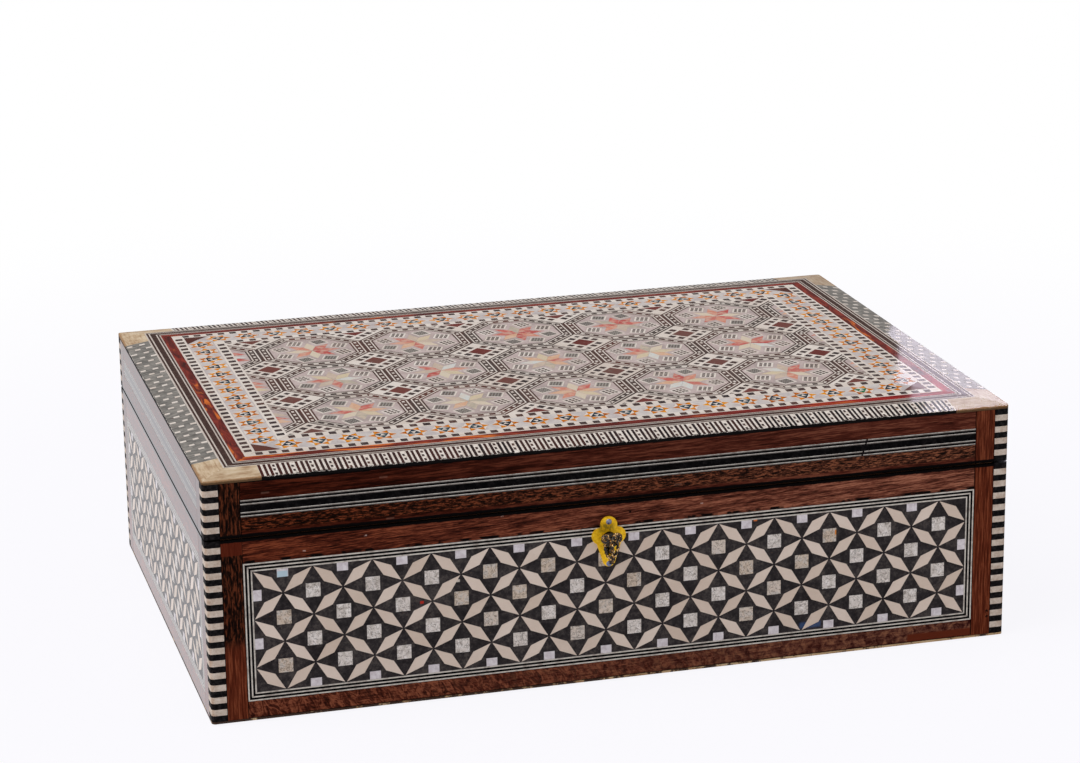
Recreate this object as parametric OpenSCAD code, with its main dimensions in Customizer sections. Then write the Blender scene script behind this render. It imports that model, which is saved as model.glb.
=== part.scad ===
// Inlaid wooden jewellery box: a jointed carcass under a skin of inlay, a hinged crowned lid
// with a mosaic top, a half-mortise lock and its key. Millimetres, +Z up, +X to the right,
// +Y to the back. The origin is the centre of the underside.

/* [Box] */
// Length over the inlay
box_l = 300; // [260:1:360]
// Depth over the inlay
box_d = 202; // [190:1:230]
// Height of the base, from what it stands on to its rim
base_h = 68.4; // [60:0.1:90]
// Height of the lid's side, with the edge of the mosaic
lid_edge_h = 21.3; // [20:0.1:30]
// Shadow gap between rim and lid, held open by the linings
lid_gap = 0.7; // [0.5:0.05:1.2]
// Rounding of the vertical corners
corner_r = 1.5; // [0.5:0.1:3]

/* [Boards] */
// Thickness of the wall boards
wall_t = 8; // [7.5:0.1:10]
// Thickness of the floor board
floor_t = 5; // [4:0.1:8]
// Height of the floor board's lip, bare under the inlay
lip_h = 0.8; // [0.4:0.1:1.5]
// Thickness of the lid's top board at its edge
lid_board_t = 6; // [5:0.1:8]
// Fingers in each corner joint of the base
base_fingers = 7; // [5:2:11]
// Fingers in each corner joint of the lid
lid_fingers = 3; // [3:2:5]
// Thickness of the felt under the floor
felt_t = 0.6; // [0.4:0.1:2]
// How far the felt stays in from the outside
felt_inset = 3; // [2:0.5:10]
// Thickness of the velvet lining
lining_t = 1; // [0.6:0.1:1.5]

/* [Side inlay] */
// Thickness of the inlay on the sides
skin_t = 1.5; // [1.2:0.1:2]
// Width of the stacked corner blocks on each face
post_w = 5.5; // [4:0.1:8]
// Corner blocks in one stack of the base
base_blocks = 29; // [21:2:35]
// Corner blocks in one stack of the lid
lid_blocks = 9; // [7:2:13]
// Width of the stiles beside the posts
stile_w = 7.7; // [6:0.1:12]
// Width of the rail under the rim
rail_top = 9.2; // [8:0.1:12]
// Height of the bottom rail's upper edge
rail_bottom = 7.8; // [7:0.1:12]
// Open seam between veneers
seam = 0.2; // [0.1:0.05:0.4]
// Width of one bone line of the stringing
line_w = 0.55; // [0.4:0.05:0.8]
// Width of one ebony line between the bone lines
line_gap = 0.75; // [0.5:0.05:1]
// Width of the lid's lower rail
lid_rail = 7.2; // [6:0.1:8]
// Width of the broad line in the lid's banding
lid_line_broad = 2.5; // [2:0.1:4]

/* [Star lattice] */
// Half-cells along the front and back
cells_long = 25; // [21:2:29]
// Half-cells along the left and right
cells_short = 16; // [14:2:18]
// Half-cells from top to bottom
cells_high = 5; // [4:1:6]
// Width of a bone lozenge
lozenge_w = 4.4; // [3:0.1:5]
// Distance from a lozenge's tip to the star's centre
lozenge_gap = 0.45; // [0.3:0.05:1]
// Side of a pearl square
pearl_w = 5.2; // [4:0.1:5.6]
// Width of a pearl chip at the border
chip_w = 4; // [3:0.1:5]
// Height of a pearl chip at the border
chip_h = 3; // [2:0.1:3.5]
// Glue line round each inlaid piece
glue = 0.06; // [0.04:0.01:0.1]

/* [Lid mosaic] */
// Thickness of the mosaic
top_t = 1.2; // [1:0.1:1.6]
// Width of the outer strip
edge_w = 9.3; // [8:0.1:11]
// Rise of the crown over the outer strip
edge_rise = 1.4; // [0.5:0.1:2]
// Rise of the crown from there to the field
band_rise = 1; // [0.5:0.1:2]
// Length of a corner plate's leg
plate_leg = 21; // [18:0.5:26]
// Widths of the seven lines inside the outer strip
top_lines = [0.55, 0.8, 0.55, 2.1, 0.5, 0.7, 0.5];
// Width of the tortoiseshell strip
shell_w = 3.7; // [3:0.1:5]
// Width of a dash border
dash_w = 4.3; // [3.5:0.1:5]
// Width of the star band
star_band = 10.2; // [9.8:0.1:12]
// Radius of a star's tips
star_r = 5.2; // [4.5:0.1:5.4]
// Spacing of the stars on the long bands
star_pitch_long = 11.4; // [11:0.1:13]
// Spacing of the stars on the short bands
star_pitch_short = 10.9; // [10.8:0.1:13]
// Leg of the dark triangle in each corner of the star band
star_corner = 9.4; // [6:0.1:9.6]
// Rows of octagons across the field
tile_rows = 3; // [3:2:5]
// How much shorter the octagons are along the box than across it
tile_squeeze = 0.983; // [0.96:0.001:1]
// How far right of the middle the middle octagon lies
tile_shift = 1.2; // [-2:0.1:2]
// Width of an octagon's ring, as a share of the octagon
ring_share = 0.116; // [0.08:0.002:0.13]
// Side of the chequered squares in an octagon, as a share of it
square_share = 0.146; // [0.12:0.002:0.15]
// Ground between such a square and the octagon's corner, as a share of the octagon
square_gap_share = 0.012; // [0.008:0.001:0.02]
// Ground between such a square and the rosette, as a share of the octagon
petal_gap_share = 0.052; // [0.03:0.002:0.07]
// Gap at the mitres and between neighbouring chips
chip_gap = 0.1; // [0.06:0.01:0.15]

/* [Hinges] */
// Distance of each hinge from the middle
hinge_x = 90; // [60:1:100]
// Length of a hinge
hinge_l = 30; // [24:1:40]
// Distance of the hinge axis from the back
hinge_inset = 2.2; // [2.1:0.1:2.6]
// Radius of the knuckles
knuckle_r = 2; // [1.8:0.05:2.05]
// Radius of the hinge pin
pin_r = 0.9; // [0.6:0.05:1]
// Thickness of a leaf
leaf_t = 1; // [0.8:0.1:1.2]
// Angle of the bevel behind the axis on base and lid, so that they meet when the lid is open
stop_bevel = 50; // [48:0.5:55]
// Radial running clearance of pins
run = 0.05; // [0.03:0.01:0.09]
// Clearance round the knuckles in the wood
knuckle_room = 0.35; // [0.3:0.05:0.6]
// Radius of a screw's shank
screw_r = 0.8; // [0.6:0.1:1]
// Length of a screw
screw_l = 7; // [5:0.5:8]

/* [Lock] */
// Distance of the lock from the middle of the front
lock_x = -4.2; // [-20:0.1:20]
// Depth of the key's axis under the rim
key_drop = 13.2; // [12:0.1:14]
// Width of the lock's case
case_w = 34; // [30:0.5:40]
// Height of the lock's case
case_h = 22; // [21:0.5:26]
// Depth of the lock with its cap, in the wall
case_d = 6.8; // [6.2:0.1:6.9]
// Thickness of the case's sheet
sheet_t = 0.8; // [0.6:0.1:1]
// Thickness of the lock's plate and selvage
plate_t = 1; // [0.8:0.1:1.2]
// Width of the plate's ears beside the case
ear_w = 4; // [3.5:0.5:6]
// Thickness of the bolt
bolt_t = 1.6; // [1.2:0.1:2]
// Travel of the bolt
bolt_throw = 3; // [2.6:0.1:3.2]
// Radius of the key's shank
shank_r = 1.9; // [1.7:0.05:2]
// Reach of the key's bit from its axis
bit_reach = 6; // [5.6:0.1:6.2]
// Thickness of the key's bit
bit_t = 1.2; // [1:0.1:1.4]
// Thickness of the escutcheon
scutcheon_t = 0.8; // [0.5:0.1:1.2]
// Radius of the wire that the key's bow is cast from
bow_wire = 1.1; // [0.8:0.05:1.3]

/* [Hidden] */
$fn = 48;

FRONT = 0;
RIGHT = 1;
BACK = 2;
LEFT = 3;
SIDES = [FRONT, RIGHT, BACK, LEFT];

// Levels
floor_z = felt_t + floor_t;
skin_z = felt_t + lip_h;
lid_z = base_h + lid_gap;
axis_z = base_h + lid_gap / 2;
edge_z = lid_z + lid_edge_h;
lid_skin_z = edge_z - top_t;
lid_rim_h = lid_edge_h - top_t - lid_board_t;
ceiling_z = lid_z + lid_rim_h;
field_z = edge_z + edge_rise + band_rise;
far = 2 * box_l; // reach of a cut that runs past everything

// The carcass inside the inlay, and the hollow inside the boards
core_l = box_l - 2 * skin_t;
core_d = box_d - 2 * skin_t;
room_l = core_l - 2 * wall_t;
room_d = core_d - 2 * wall_t;
post_let = post_w - skin_t; // how deep a corner stack sits in the boards

// The banding of the sides: stringing round the field, and straight lines on the lid
string_lines = [line_w, line_gap, line_w, line_gap, line_w];
string_w = total(string_lines);
lid_lines = [line_w, line_gap, line_w, lid_line_broad, line_w, line_gap, line_w];

// The lid's mosaic, counted inwards from the outside
lines_d = edge_w;
shell_d = lines_d + total(top_lines);
dash_d = shell_d + shell_w;
star_d = dash_d + dash_w;
dash2_d = star_d + star_band;
field_d = dash2_d + dash_w;
field_l = box_l - 2 * field_d;
field_w = box_d - 2 * field_d;
tile = field_w / tile_rows;
tile_l = tile * tile_squeeze;
ring_in = tile * (1 - 2 * ring_share);
square_w = tile * square_share;
square_r = ring_in / 2 / cos(22.5) - square_w / sqrt(2) - tile * square_gap_share;
petal_side = square_r - square_w / sqrt(2) - tile * petal_gap_share;

// Hinge and lock
axis_y = box_d / 2 - hinge_inset;
leaf_w = axis_y - room_d / 2 - 0.5;
leaf_screw_y = axis_y - leaf_w * 0.62;
key_z = base_h - key_drop;
lock_y = -room_d / 2; // inner face of the front board, which the lock's plate is flush with
cap_y = lock_y - case_d;
bolt_y = (cap_y + sheet_t + lock_y - plate_t) / 2; // middle of the bolt's thickness
plate_w = case_w + 2 * ear_w;
bolt_top = 3; // from the rim down to the bolt's upper edge
head_h = 2.6; // height of the bolt's head
head_x = 7.6; // reach of the bolt's head from the key's axis, at rest
loop_t = 1.6; // thickness of the strike's loop along the bolt
loop_w = 4; // width of the loop
loop_x = head_x + 0.6 + loop_t / 2; // middle of the loop
loop_h = 7; // reach of the loop under the rim
bow_y = -box_d / 2 - scutcheon_t - 2.6; // where the key's neck ends and its bow starts

function total(v, n = undef) = let (k = is_undef(n) ? len(v) : n) k == 0 ? 0 : v[k - 1] + total(v, k - 1);
function along(side) = side % 2 == 0 ? box_l : box_d;
function across(side) = side % 2 == 0 ? box_d : box_l;
function cells(side) = side % 2 == 0 ? cells_long : cells_short;

// ---- Placing ----

// Puts a child that lies against the plane y = 0, with its depth towards +Y, on one side
module on_side(side) {
    rotate([0, 0, 90 * side]) translate([0, -across(side) / 2, 0]) children();
}

// A flat shape drawn in (along, up), as inlay on one side
module side_inlay(side) {
    on_side(side) translate([0, skin_t, 0]) rotate([90, 0, 0]) linear_extrude(skin_t) children();
}

module at_hinges() {
    for (x = [-hinge_x, hinge_x]) translate([x, axis_y, axis_z]) children();
}

// The lock's own frame: the key's axis, with y = 0 on the inner face of the front board
module at_lock() {
    translate([lock_x, lock_y, key_z]) children();
}

// A cylinder along +Y from y0 to y1
module bar_y(r, y0, y1) {
    translate([0, y0, 0]) rotate([-90, 0, 0]) cylinder(r = r, h = y1 - y0);
}

// ---- Cuts shared by base and lid ----

// The V behind the hinge axis, which lets the lid open and then stops it
module back_bevel() {
    reach = 2 * hinge_inset;
    rise = reach * tan(stop_bevel);
    translate([-far / 2, axis_y, axis_z]) rotate([90, 0, 90])
        linear_extrude(far) polygon([[0, 0], [reach, -rise], [reach, rise]]);
}

module knuckle_cut() {
    room = hinge_l / 2 + knuckle_room;
    at_hinges() rotate([0, 90, 0]) cylinder(r = knuckle_r + knuckle_room, h = 2 * room, center = true);
}

// Cuts what carries the hinges at the back
module back_cuts() {
    difference() {
        children();
        back_bevel();
        knuckle_cut();
    }
}

module keyhole_2d(r, slot, reach) {
    circle(r = r);
    translate([-slot / 2, -reach]) square([slot, reach]);
}

// The keyhole and the nail holes of the escutcheon, through what lies under it
module front_cuts() {
    difference() {
        children();
        translate([lock_x, cap_y + 0.1, key_z]) rotate([90, 0, 0])
            linear_extrude(far) keyhole_2d(2.6, 2.8, bit_reach + 0.8);
        for (z = nail_levels) translate([lock_x, 0, z])
            bar_y(nail_r + 0.02, -box_d / 2 - 1, -box_d / 2 + nail_l + 0.2);
    }
}

// ---- Boards ----

// One wall board in its side's frame: fingers at both ends, and the corners let in for the posts
module wall_board(l, h, fingers, odd) {
    step = h / fingers;
    difference() {
        translate([0, skin_t + wall_t, 0]) rotate([90, 0, 0]) linear_extrude(wall_t) difference() {
            translate([-l / 2, 0]) square([l, h]);
            for (k = [0:fingers - 1]) if (k % 2 == (odd ? 0 : 1)) for (m = [0, 1]) mirror([m, 0])
                translate([l / 2 - wall_t, k * step]) square([wall_t + 1, step]);
        }
        for (m = [0, 1]) mirror([m, 0, 0])
            translate([l / 2 - post_let, skin_t - 1, -1]) cube([post_let + 1, post_let + 1, h + 2]);
    }
}

module base_board(side) {
    on_side(side) translate([0, 0, floor_z])
        wall_board(along(side) - 2 * skin_t, base_h - floor_z, base_fingers, side % 2 == 1);
}

module lid_board(side) {
    on_side(side) translate([0, 0, lid_z])
        wall_board(along(side) - 2 * skin_t, lid_rim_h, lid_fingers, side % 2 == 1);
}

// Four corners of the carcass, cut for the posts
module post_cuts(z0, z1) {
    for (mx = [0, 1], my = [0, 1]) mirror([mx, 0, 0]) mirror([0, my, 0])
        translate([box_l / 2 - post_w, box_d / 2 - post_w, z0]) cube([post_w + 1, post_w + 1, z1 - z0]);
}

module foot_felt() {
    color("darkgreen") translate([-box_l / 2 + felt_inset, -box_d / 2 + felt_inset, 0])
        cube([box_l - 2 * felt_inset, box_d - 2 * felt_inset, felt_t]);
}

module base_floor() {
    color("burlywood") {
        difference() {
            translate([-core_l / 2, -core_d / 2, felt_t]) cube([core_l, core_d, floor_t]);
            post_cuts(skin_z, floor_z + 1);
        }
        translate([0, 0, felt_t]) linear_extrude(lip_h) rounded_plan();
    }
}

module rounded_plan() {
    square([box_l - 2 * corner_r, box_d], center = true);
    square([box_l, box_d - 2 * corner_r], center = true);
    for (sx = [-1, 1], sy = [-1, 1])
        translate([sx * (box_l / 2 - corner_r), sy * (box_d / 2 - corner_r)]) circle(r = corner_r);
}

module base_front_board() {
    color("saddlebrown") front_cuts() difference() {
        base_board(FRONT);
        at_lock() lock_mortise();
        at_lock() lock_screw_places() bar_y(screw_r, 0.2 - screw_l, 0);
    }
}

module base_back_board() {
    color("saddlebrown") back_cuts() difference() {
        base_board(BACK);
        at_hinges() leaf_bed(-1);
        at_hinges() leaf_screw_places() mirror([0, 0, 1]) shank_hole();
    }
}

module base_left_board() {
    color("saddlebrown") back_cuts() base_board(LEFT);
}

module base_right_board() {
    color("saddlebrown") back_cuts() base_board(RIGHT);
}

module lid_front_rim() {
    color("saddlebrown") difference() {
        lid_board(FRONT);
        at_lock() at_strike() strike_bed();
        at_lock() strike_screw_places() shank_hole();
    }
}

module lid_back_rim() {
    color("saddlebrown") back_cuts() difference() {
        lid_board(BACK);
        at_hinges() leaf_bed(1);
        at_hinges() leaf_screw_places() shank_hole();
    }
}

module lid_side_rims() {
    color("saddlebrown") back_cuts() {
        lid_board(LEFT);
        lid_board(RIGHT);
    }
}

// Everything under the crowned surface, lowered by drop: the outer strip slopes most, the bands
// a little, and the field is flat
module crown(drop) {
    intersection() {
        rotate([90, 0, 0]) linear_extrude(far, center = true) crown_profile(box_l / 2, drop);
        rotate([90, 0, 90]) linear_extrude(far, center = true) crown_profile(box_d / 2, drop);
    }
}

module crown_profile(half, drop) {
    rise = [edge_z, edge_z + edge_rise, field_z];
    x = [half, half - edge_w, half - field_d];
    polygon(concat(
        [[-half, ceiling_z]], [for (k = [0:2]) [-x[k], rise[k] - drop]],
        [for (k = [2:-1:0]) [x[k], rise[k] - drop]], [[half, ceiling_z]]
    ));
}

module lid_top_board() {
    color("saddlebrown") difference() {
        intersection() {
            crown(top_t);
            translate([-core_l / 2, -core_d / 2, 0]) cube([core_l, core_d, field_z]);
        }
        post_cuts(ceiling_z - 1, field_z);
    }
}

// ---- Corner posts ----

// One block of a stack, in plan, with the outer corner rounded
module block_2d() {
    difference() {
        translate([box_l / 2 - post_w, box_d / 2 - post_w]) square(post_w);
        translate([box_l / 2 - corner_r, box_d / 2 - corner_r]) square(corner_r);
    }
    translate([box_l / 2 - corner_r, box_d / 2 - corner_r]) circle(r = corner_r);
}

// Every other block of the four stacks between two levels, from block number first
module blocks(z0, z1, count, first) {
    step = (z1 - z0) / count;
    for (mx = [0, 1], my = [0, 1]) mirror([mx, 0, 0]) mirror([0, my, 0])
        for (k = [first:2:count - 1]) translate([0, 0, z0 + k * step]) linear_extrude(step) block_2d();
}

module base_corner_bone() {
    color("antiquewhite") blocks(skin_z, base_h, base_blocks, 1);
}

module base_corner_ebony() {
    color("black") difference() {
        blocks(skin_z, base_h, base_blocks, 0);
        back_bevel();
    }
}

module lid_corner_bone() {
    color("antiquewhite") difference() {
        blocks(lid_z, lid_skin_z, lid_blocks, 1);
        back_bevel();
    }
}

module lid_corner_ebony() {
    color("black") difference() {
        blocks(lid_z, lid_skin_z, lid_blocks, 0);
        back_bevel();
    }
}

// ---- Veneers of the sides ----

// A veneer drawn by its corners, drawn in by half a seam on every edge
module veneer(u0, u1, z0, z1) {
    translate([u0 + seam / 2, z0 + seam / 2]) square([u1 - u0 - seam, z1 - z0 - seam]);
}

function post_u(side) = along(side) / 2 - post_w; // inner edge of the post
function stile_u(side) = post_u(side) - stile_w; // inner edge of the stile
function pane_u(side) = stile_u(side) - string_w; // inner edge of the stringing
pane_z0 = rail_bottom + string_w;
pane_z1 = base_h - rail_top - string_w;
band_z = lid_z + lid_rail;

module base_rails() {
    color("brown") back_cuts() front_cuts() for (side = SIDES) side_inlay(side) {
        veneer(-stile_u(side), stile_u(side), base_h - rail_top, base_h);
        veneer(-stile_u(side), stile_u(side), skin_z, rail_bottom);
    }
}

module base_stiles() {
    color("sienna") back_cuts() for (side = SIDES) side_inlay(side) for (m = [0, 1]) mirror([m, 0])
        veneer(stile_u(side), post_u(side), skin_z, base_h);
}

module lid_rails() {
    color("brown") back_cuts() for (side = SIDES) side_inlay(side) {
        veneer(-stile_u(side), stile_u(side), lid_z, band_z);
        veneer(-stile_u(side), stile_u(side), band_z + total(lid_lines), lid_skin_z);
    }
}

module lid_stiles() {
    color("sienna") back_cuts() for (side = SIDES) side_inlay(side) for (m = [0, 1]) mirror([m, 0])
        veneer(stile_u(side), post_u(side), lid_z, lid_skin_z);
}

// Four strips round a rectangle, mitred at the corners
module mitred(l, w, band) {
    for (side = SIDES) {
        a = (side % 2 == 0 ? l : w) / 2 - chip_gap / 2;
        b = (side % 2 == 0 ? w : l) / 2;
        rotate(90 * side) polygon([[-a, -b], [a, -b], [a - band, band - b], [band - a, band - b]]);
    }
}

// Every other strip of a set of lines round a rectangle, from line number first
module lines_round(l, w, lines, first) {
    for (k = [first:2:len(lines) - 1])
        mitred(l - 2 * total(lines, k), w - 2 * total(lines, k), lines[k]);
}

module base_lines(first) {
    front_cuts() for (side = SIDES) side_inlay(side) translate([0, (pane_z0 + pane_z1) / 2])
        lines_round(2 * stile_u(side), pane_z1 - pane_z0 + 2 * string_w, string_lines, first);
}

module base_string_bone() {
    color("white") base_lines(0);
}

module base_string_ebony() {
    color("black") base_lines(1);
}

module lid_side_lines(first) {
    for (side = SIDES) side_inlay(side) for (k = [first:2:len(lid_lines) - 1])
        translate([-stile_u(side), band_z + total(lid_lines, k)]) square([2 * stile_u(side), lid_lines[k]]);
}

module lid_string_bone() {
    color("white") lid_side_lines(0);
}

module lid_string_ebony() {
    color("black") lid_side_lines(1);
}

// ---- Star lattice of the sides ----

// The lattice in its side's plane: nodes every other half-cell, a lozenge along every diagonal
// between two nodes, and pearl at the half-cells between
function cell_u(side) = 2 * pane_u(side) / cells(side);
cell_z = (pane_z1 - pane_z0) / cells_high;

module at_cell(side, i, j) {
    translate([i * cell_u(side) - pane_u(side), pane_z1 - j * cell_z]) children();
}

module lozenges(side, grow) {
    cu = cell_u(side);
    half = norm([cu, cell_z]) / 2 - lozenge_gap + grow;
    wide = lozenge_w / 2 + grow;
    for (i = [0:cells(side) - 1], j = [0:cells_high - 1]) at_cell(side, i + 0.5, j + 0.5)
        rotate(((i + j) % 2 == 0 ? -1 : 1) * atan2(cell_z, cu))
            polygon([[-half, 0], [0, -wide], [half, 0], [0, wide]]);
}

module pearls(side, grow) {
    w = pearl_w + 2 * grow;
    for (i = [1:cells(side) - 1], j = [1:cells_high - 1]) if ((i + j) % 2 == 1)
        at_cell(side, i, j) square(w, center = true);
}

// The chips along the border, cut off flush with the stringing
module border_chips(side, grow) {
    w = chip_w + 2 * grow;
    h = chip_h + grow;
    for (i = [1:cells(side) - 1], j = [0, cells_high]) if ((i + j) % 2 == 1)
        at_cell(side, i, j) mirror([0, j == 0 ? 1 : 0]) translate([-w / 2, 0]) square([w, h]);
    for (j = [1:cells_high - 1], i = [0, cells(side)]) if ((i + j) % 2 == 1)
        at_cell(side, i, j) mirror([i == 0 ? 0 : 1, 0]) translate([0, -w / 2]) square([h, w]);
}

module field_plate(side) {
    side_inlay(side) difference() {
        translate([-pane_u(side), pane_z0]) square([2 * pane_u(side), pane_z1 - pane_z0]);
        lozenges(side, glue);
        pearls(side, glue);
        border_chips(side, glue);
    }
}

module base_front_field() {
    color("dimgray") front_cuts() field_plate(FRONT);
}

module base_back_field() {
    color("dimgray") field_plate(BACK);
}

module base_side_fields() {
    color("dimgray") for (side = [LEFT, RIGHT]) field_plate(side);
}

module base_lozenges() {
    color("antiquewhite") front_cuts() for (side = SIDES) side_inlay(side) lozenges(side, 0);
}

module base_pearls() {
    color("gainsboro") front_cuts() for (side = SIDES) side_inlay(side) {
        pearls(side, 0);
        border_chips(side, 0);
    }
}

// ---- Linings ----

// Velvet on the four walls between two levels, butted at the corners
module wall_lining(z0, z1) {
    for (side = SIDES) {
        long = side % 2 == 0;
        l = (long ? room_l : room_d - 2 * lining_t) - 2 * chip_gap;
        on_side(side) translate([-l / 2, skin_t + wall_t, z0]) cube([l, lining_t, z1 - z0]);
    }
}

module base_lining() {
    color("darkred") {
        translate([-room_l / 2, -room_d / 2, floor_z]) cube([room_l, room_d, lining_t]);
        difference() {
            wall_lining(floor_z + lining_t + chip_gap, axis_z);
            at_lock() translate([-plate_w / 2 - seam, -1, key_drop - case_h - seam])
                cube([plate_w + 2 * seam, lining_t + 2, case_h + lid_gap + 2 * seam]);
        }
    }
}

module lid_lining() {
    color("darkred") {
        translate([-room_l / 2, -room_d / 2, ceiling_z - lining_t]) cube([room_l, room_d, lining_t]);
        wall_lining(axis_z, ceiling_z - lining_t - chip_gap);
    }
}

// ---- Hinges ----

// Where a leaf's two screws go, on the hinge axis's level
module leaf_screw_places() {
    for (x = [-1, 1]) translate([x * hinge_l / 4, leaf_screw_y - axis_y, 0]) children();
}

// The bed of a leaf in the rim: up is 1 in the lid and -1 in the base
module leaf_bed(up) {
    mirror([0, 0, up > 0 ? 0 : 1]) translate([-hinge_l / 2, -leaf_w, -1])
        cube([hinge_l, leaf_w + knuckle_r, 1 + lid_gap / 2 + leaf_t]);
}

// A leaf with its knuckles, which are given as [start, end] along the axis
module leaf(up, knuckles) {
    mirror([0, 0, up > 0 ? 0 : 1]) difference() {
        union() {
            translate([-hinge_l / 2, -leaf_w, lid_gap / 2]) cube([hinge_l, leaf_w - knuckle_r, leaf_t]);
            for (k = knuckles) translate([k[0], 0, 0]) {
                translate([0, -knuckle_r - 1, lid_gap / 2]) cube([k[1] - k[0], knuckle_r + 1, leaf_t]);
                rotate([0, 90, 0]) cylinder(r = knuckle_r, h = k[1] - k[0]);
            }
        }
        translate([-hinge_l, 0, 0]) rotate([0, 90, 0]) cylinder(r = pin_r + run, h = 2 * hinge_l);
        leaf_screw_places() screw_hole(lid_gap / 2, leaf_t);
    }
}

// The hole for a screw's shank in the wood, towards +Z
module shank_hole() {
    cylinder(r = screw_r, h = screw_l + lid_gap);
}

// A countersunk hole through a plate whose open face is at z
module screw_hole(z, t) {
    translate([0, 0, z - 0.01]) cylinder(r1 = 2 * screw_r + 0.05, r2 = screw_r + 0.05, h = t * 0.75);
    translate([0, 0, z - 0.01]) cylinder(r = screw_r + 0.05, h = t + 1);
}

// A countersunk screw: its head's face at z = 0, its shank towards +Z
module screw() {
    head = 0.7 * leaf_t;
    difference() {
        union() {
            cylinder(r1 = 2 * screw_r, r2 = screw_r, h = head);
            cylinder(r = screw_r - 0.02, h = screw_l - 0.3);
        }
        translate([-2 * screw_r, -0.2, -1]) cube([4 * screw_r, 0.4, 1.3]);
    }
}

knuckle_step = hinge_l / 3;
knuckle_air = 0.15;

module hinge_base_leaves() {
    color("goldenrod") at_hinges() leaf(-1, [
        [-hinge_l / 2, -knuckle_step / 2 - knuckle_air], [knuckle_step / 2 + knuckle_air, hinge_l / 2]
    ]);
}

module hinge_lid_leaves() {
    color("goldenrod") at_hinges()
        leaf(1, [[-knuckle_step / 2 + knuckle_air, knuckle_step / 2 - knuckle_air]]);
}

module hinge_pins() {
    color("silver") at_hinges() rotate([0, 90, 0]) cylinder(r = pin_r, h = hinge_l, center = true);
}

// ---- Lock ----
// Drawn in the lock's frame: x along the bolt, y = 0 on the plate's inner face, z = 0 on the axis

module lock_mortise() {
    room = 0.1;
    translate([-case_w / 2 - room, -case_d - room, key_drop - case_h - room])
        cube([case_w + 2 * room, case_d + 1, case_h + 1]);
    translate([-plate_w / 2 - room, -plate_t - room, key_drop - case_h - room])
        cube([plate_w + 2 * room, plate_t + 1, case_h + 1]);
    translate([-plate_w / 2 - room, -case_d - room, key_drop - plate_t - room])
        cube([plate_w + 2 * room, case_d + 1, plate_t + 1]);
}

module lock_screw_places() {
    for (x = [-1, 1], z = [-0.25, 0.25])
        translate([x * (case_w + ear_w) / 2, 0, key_drop - case_h / 2 + z * case_h]) children();
}

// The two stumps that guide the bolt
stump_r = 1;
stump_z = 6.6;
stumps = [-7.5, 1.5];

module stump_places() {
    for (x = stumps) translate([x, 0, stump_z]) children();
}

module lock_case() {
    low = key_drop - case_h;
    depth = case_d - sheet_t;
    color("darkgoldenrod") at_lock() difference() {
        union() {
            translate([-plate_w / 2, -plate_t, low]) cube([plate_w, plate_t, case_h]);
            translate([-plate_w / 2, -case_d, key_drop - plate_t]) cube([plate_w, case_d, plate_t]);
            for (x = [-case_w / 2, case_w / 2 - sheet_t])
                translate([x, -depth, low]) cube([sheet_t, depth, case_h]);
            translate([-case_w / 2, -depth, low]) cube([case_w, depth, sheet_t]);
            stump_places() bar_y(stump_r, -depth, -plate_t);
        }
        bar_y(drill_r + run, -case_d, 1);
        bar_y(drill_head_r + 0.1, -drill_head_t, 1);
        lock_screw_places() mirror([0, 1, 0]) rotate([-90, 0, 0]) screw_hole(0, plate_t);
        translate([loop_x - loop_t / 2 - 0.5, bolt_y - lock_y - loop_w / 2 - 0.5, key_drop - plate_t - 1])
            cube([loop_t + 1, loop_w + 1, plate_t + 2]);
    }
}

module lock_cap() {
    color("darkgoldenrod") at_lock() translate([0, -case_d + sheet_t, 0]) rotate([90, 0, 0])
        linear_extrude(sheet_t) difference() {
            translate([-case_w / 2, key_drop - case_h]) square([case_w, case_h - plate_t]);
            keyhole_2d(shank_r + 0.4, bit_t + 0.8, bit_reach + 0.4);
        }
}

module lock_bolt() {
    left = -10;
    right = 5;
    up = key_drop - bolt_top;
    window = shank_r + 1.4;
    talon = bit_t / 2 + 0.9;
    color("silver") at_lock() translate([0, bolt_y - lock_y + bolt_t / 2, 0]) rotate([90, 0, 0])
        linear_extrude(bolt_t) difference() {
            union() {
                translate([left, -bit_reach - 0.3]) square([right - left, up + bit_reach + 0.3]);
                translate([right - 1, up - head_h]) square([head_x - right + 1, head_h]);
            }
            translate([-window - bolt_throw, -window]) square([2 * window + bolt_throw, 2 * window]);
            translate([-talon, -bit_reach - 1]) square([2 * talon, bit_reach]);
            for (x = stumps) hull()
                for (s = [0, bolt_throw]) translate([x - s, stump_z]) circle(r = stump_r + 0.2);
        }
}

// The pin in the key's pipe
drill_r = 1;
drill_head_r = 1.6;
drill_head_t = 0.5;

module lock_pin() {
    color("silver") at_lock() {
        bar_y(drill_r, -case_d - 2, -0.1);
        bar_y(drill_head_r, 0.05 - drill_head_t, -0.1);
    }
}

module key() {
    pipe_y = lock_y - plate_t - 0.9; // inner end of the pipe
    color("peru") translate([lock_x, 0, key_z]) {
        difference() {
            union() {
                bar_y(shank_r, bow_y - 1, pipe_y);
                bar_y(shank_r + 0.8, bow_y, bow_y + 1.2);
                translate([-bit_t / 2, pipe_y - 3, -bit_reach]) cube([bit_t, 3, bit_reach - 1.4]);
            }
            bar_y(drill_r + 0.1, -box_d / 2, pipe_y + 1);
        }
        translate([0, bow_y, 0]) key_bow();
    }
}

// A trefoil of cast rings in the upright plane, with a bead where they meet and one at the end
pair_r = 2.3; // the two small rings, and where they stand
pair_y = -3.4;
pair_z = 2.9;
tip_r = 3.2; // the large ring
tip_y = -8.9;
bead_r = bow_wire + 0.4;

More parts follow.
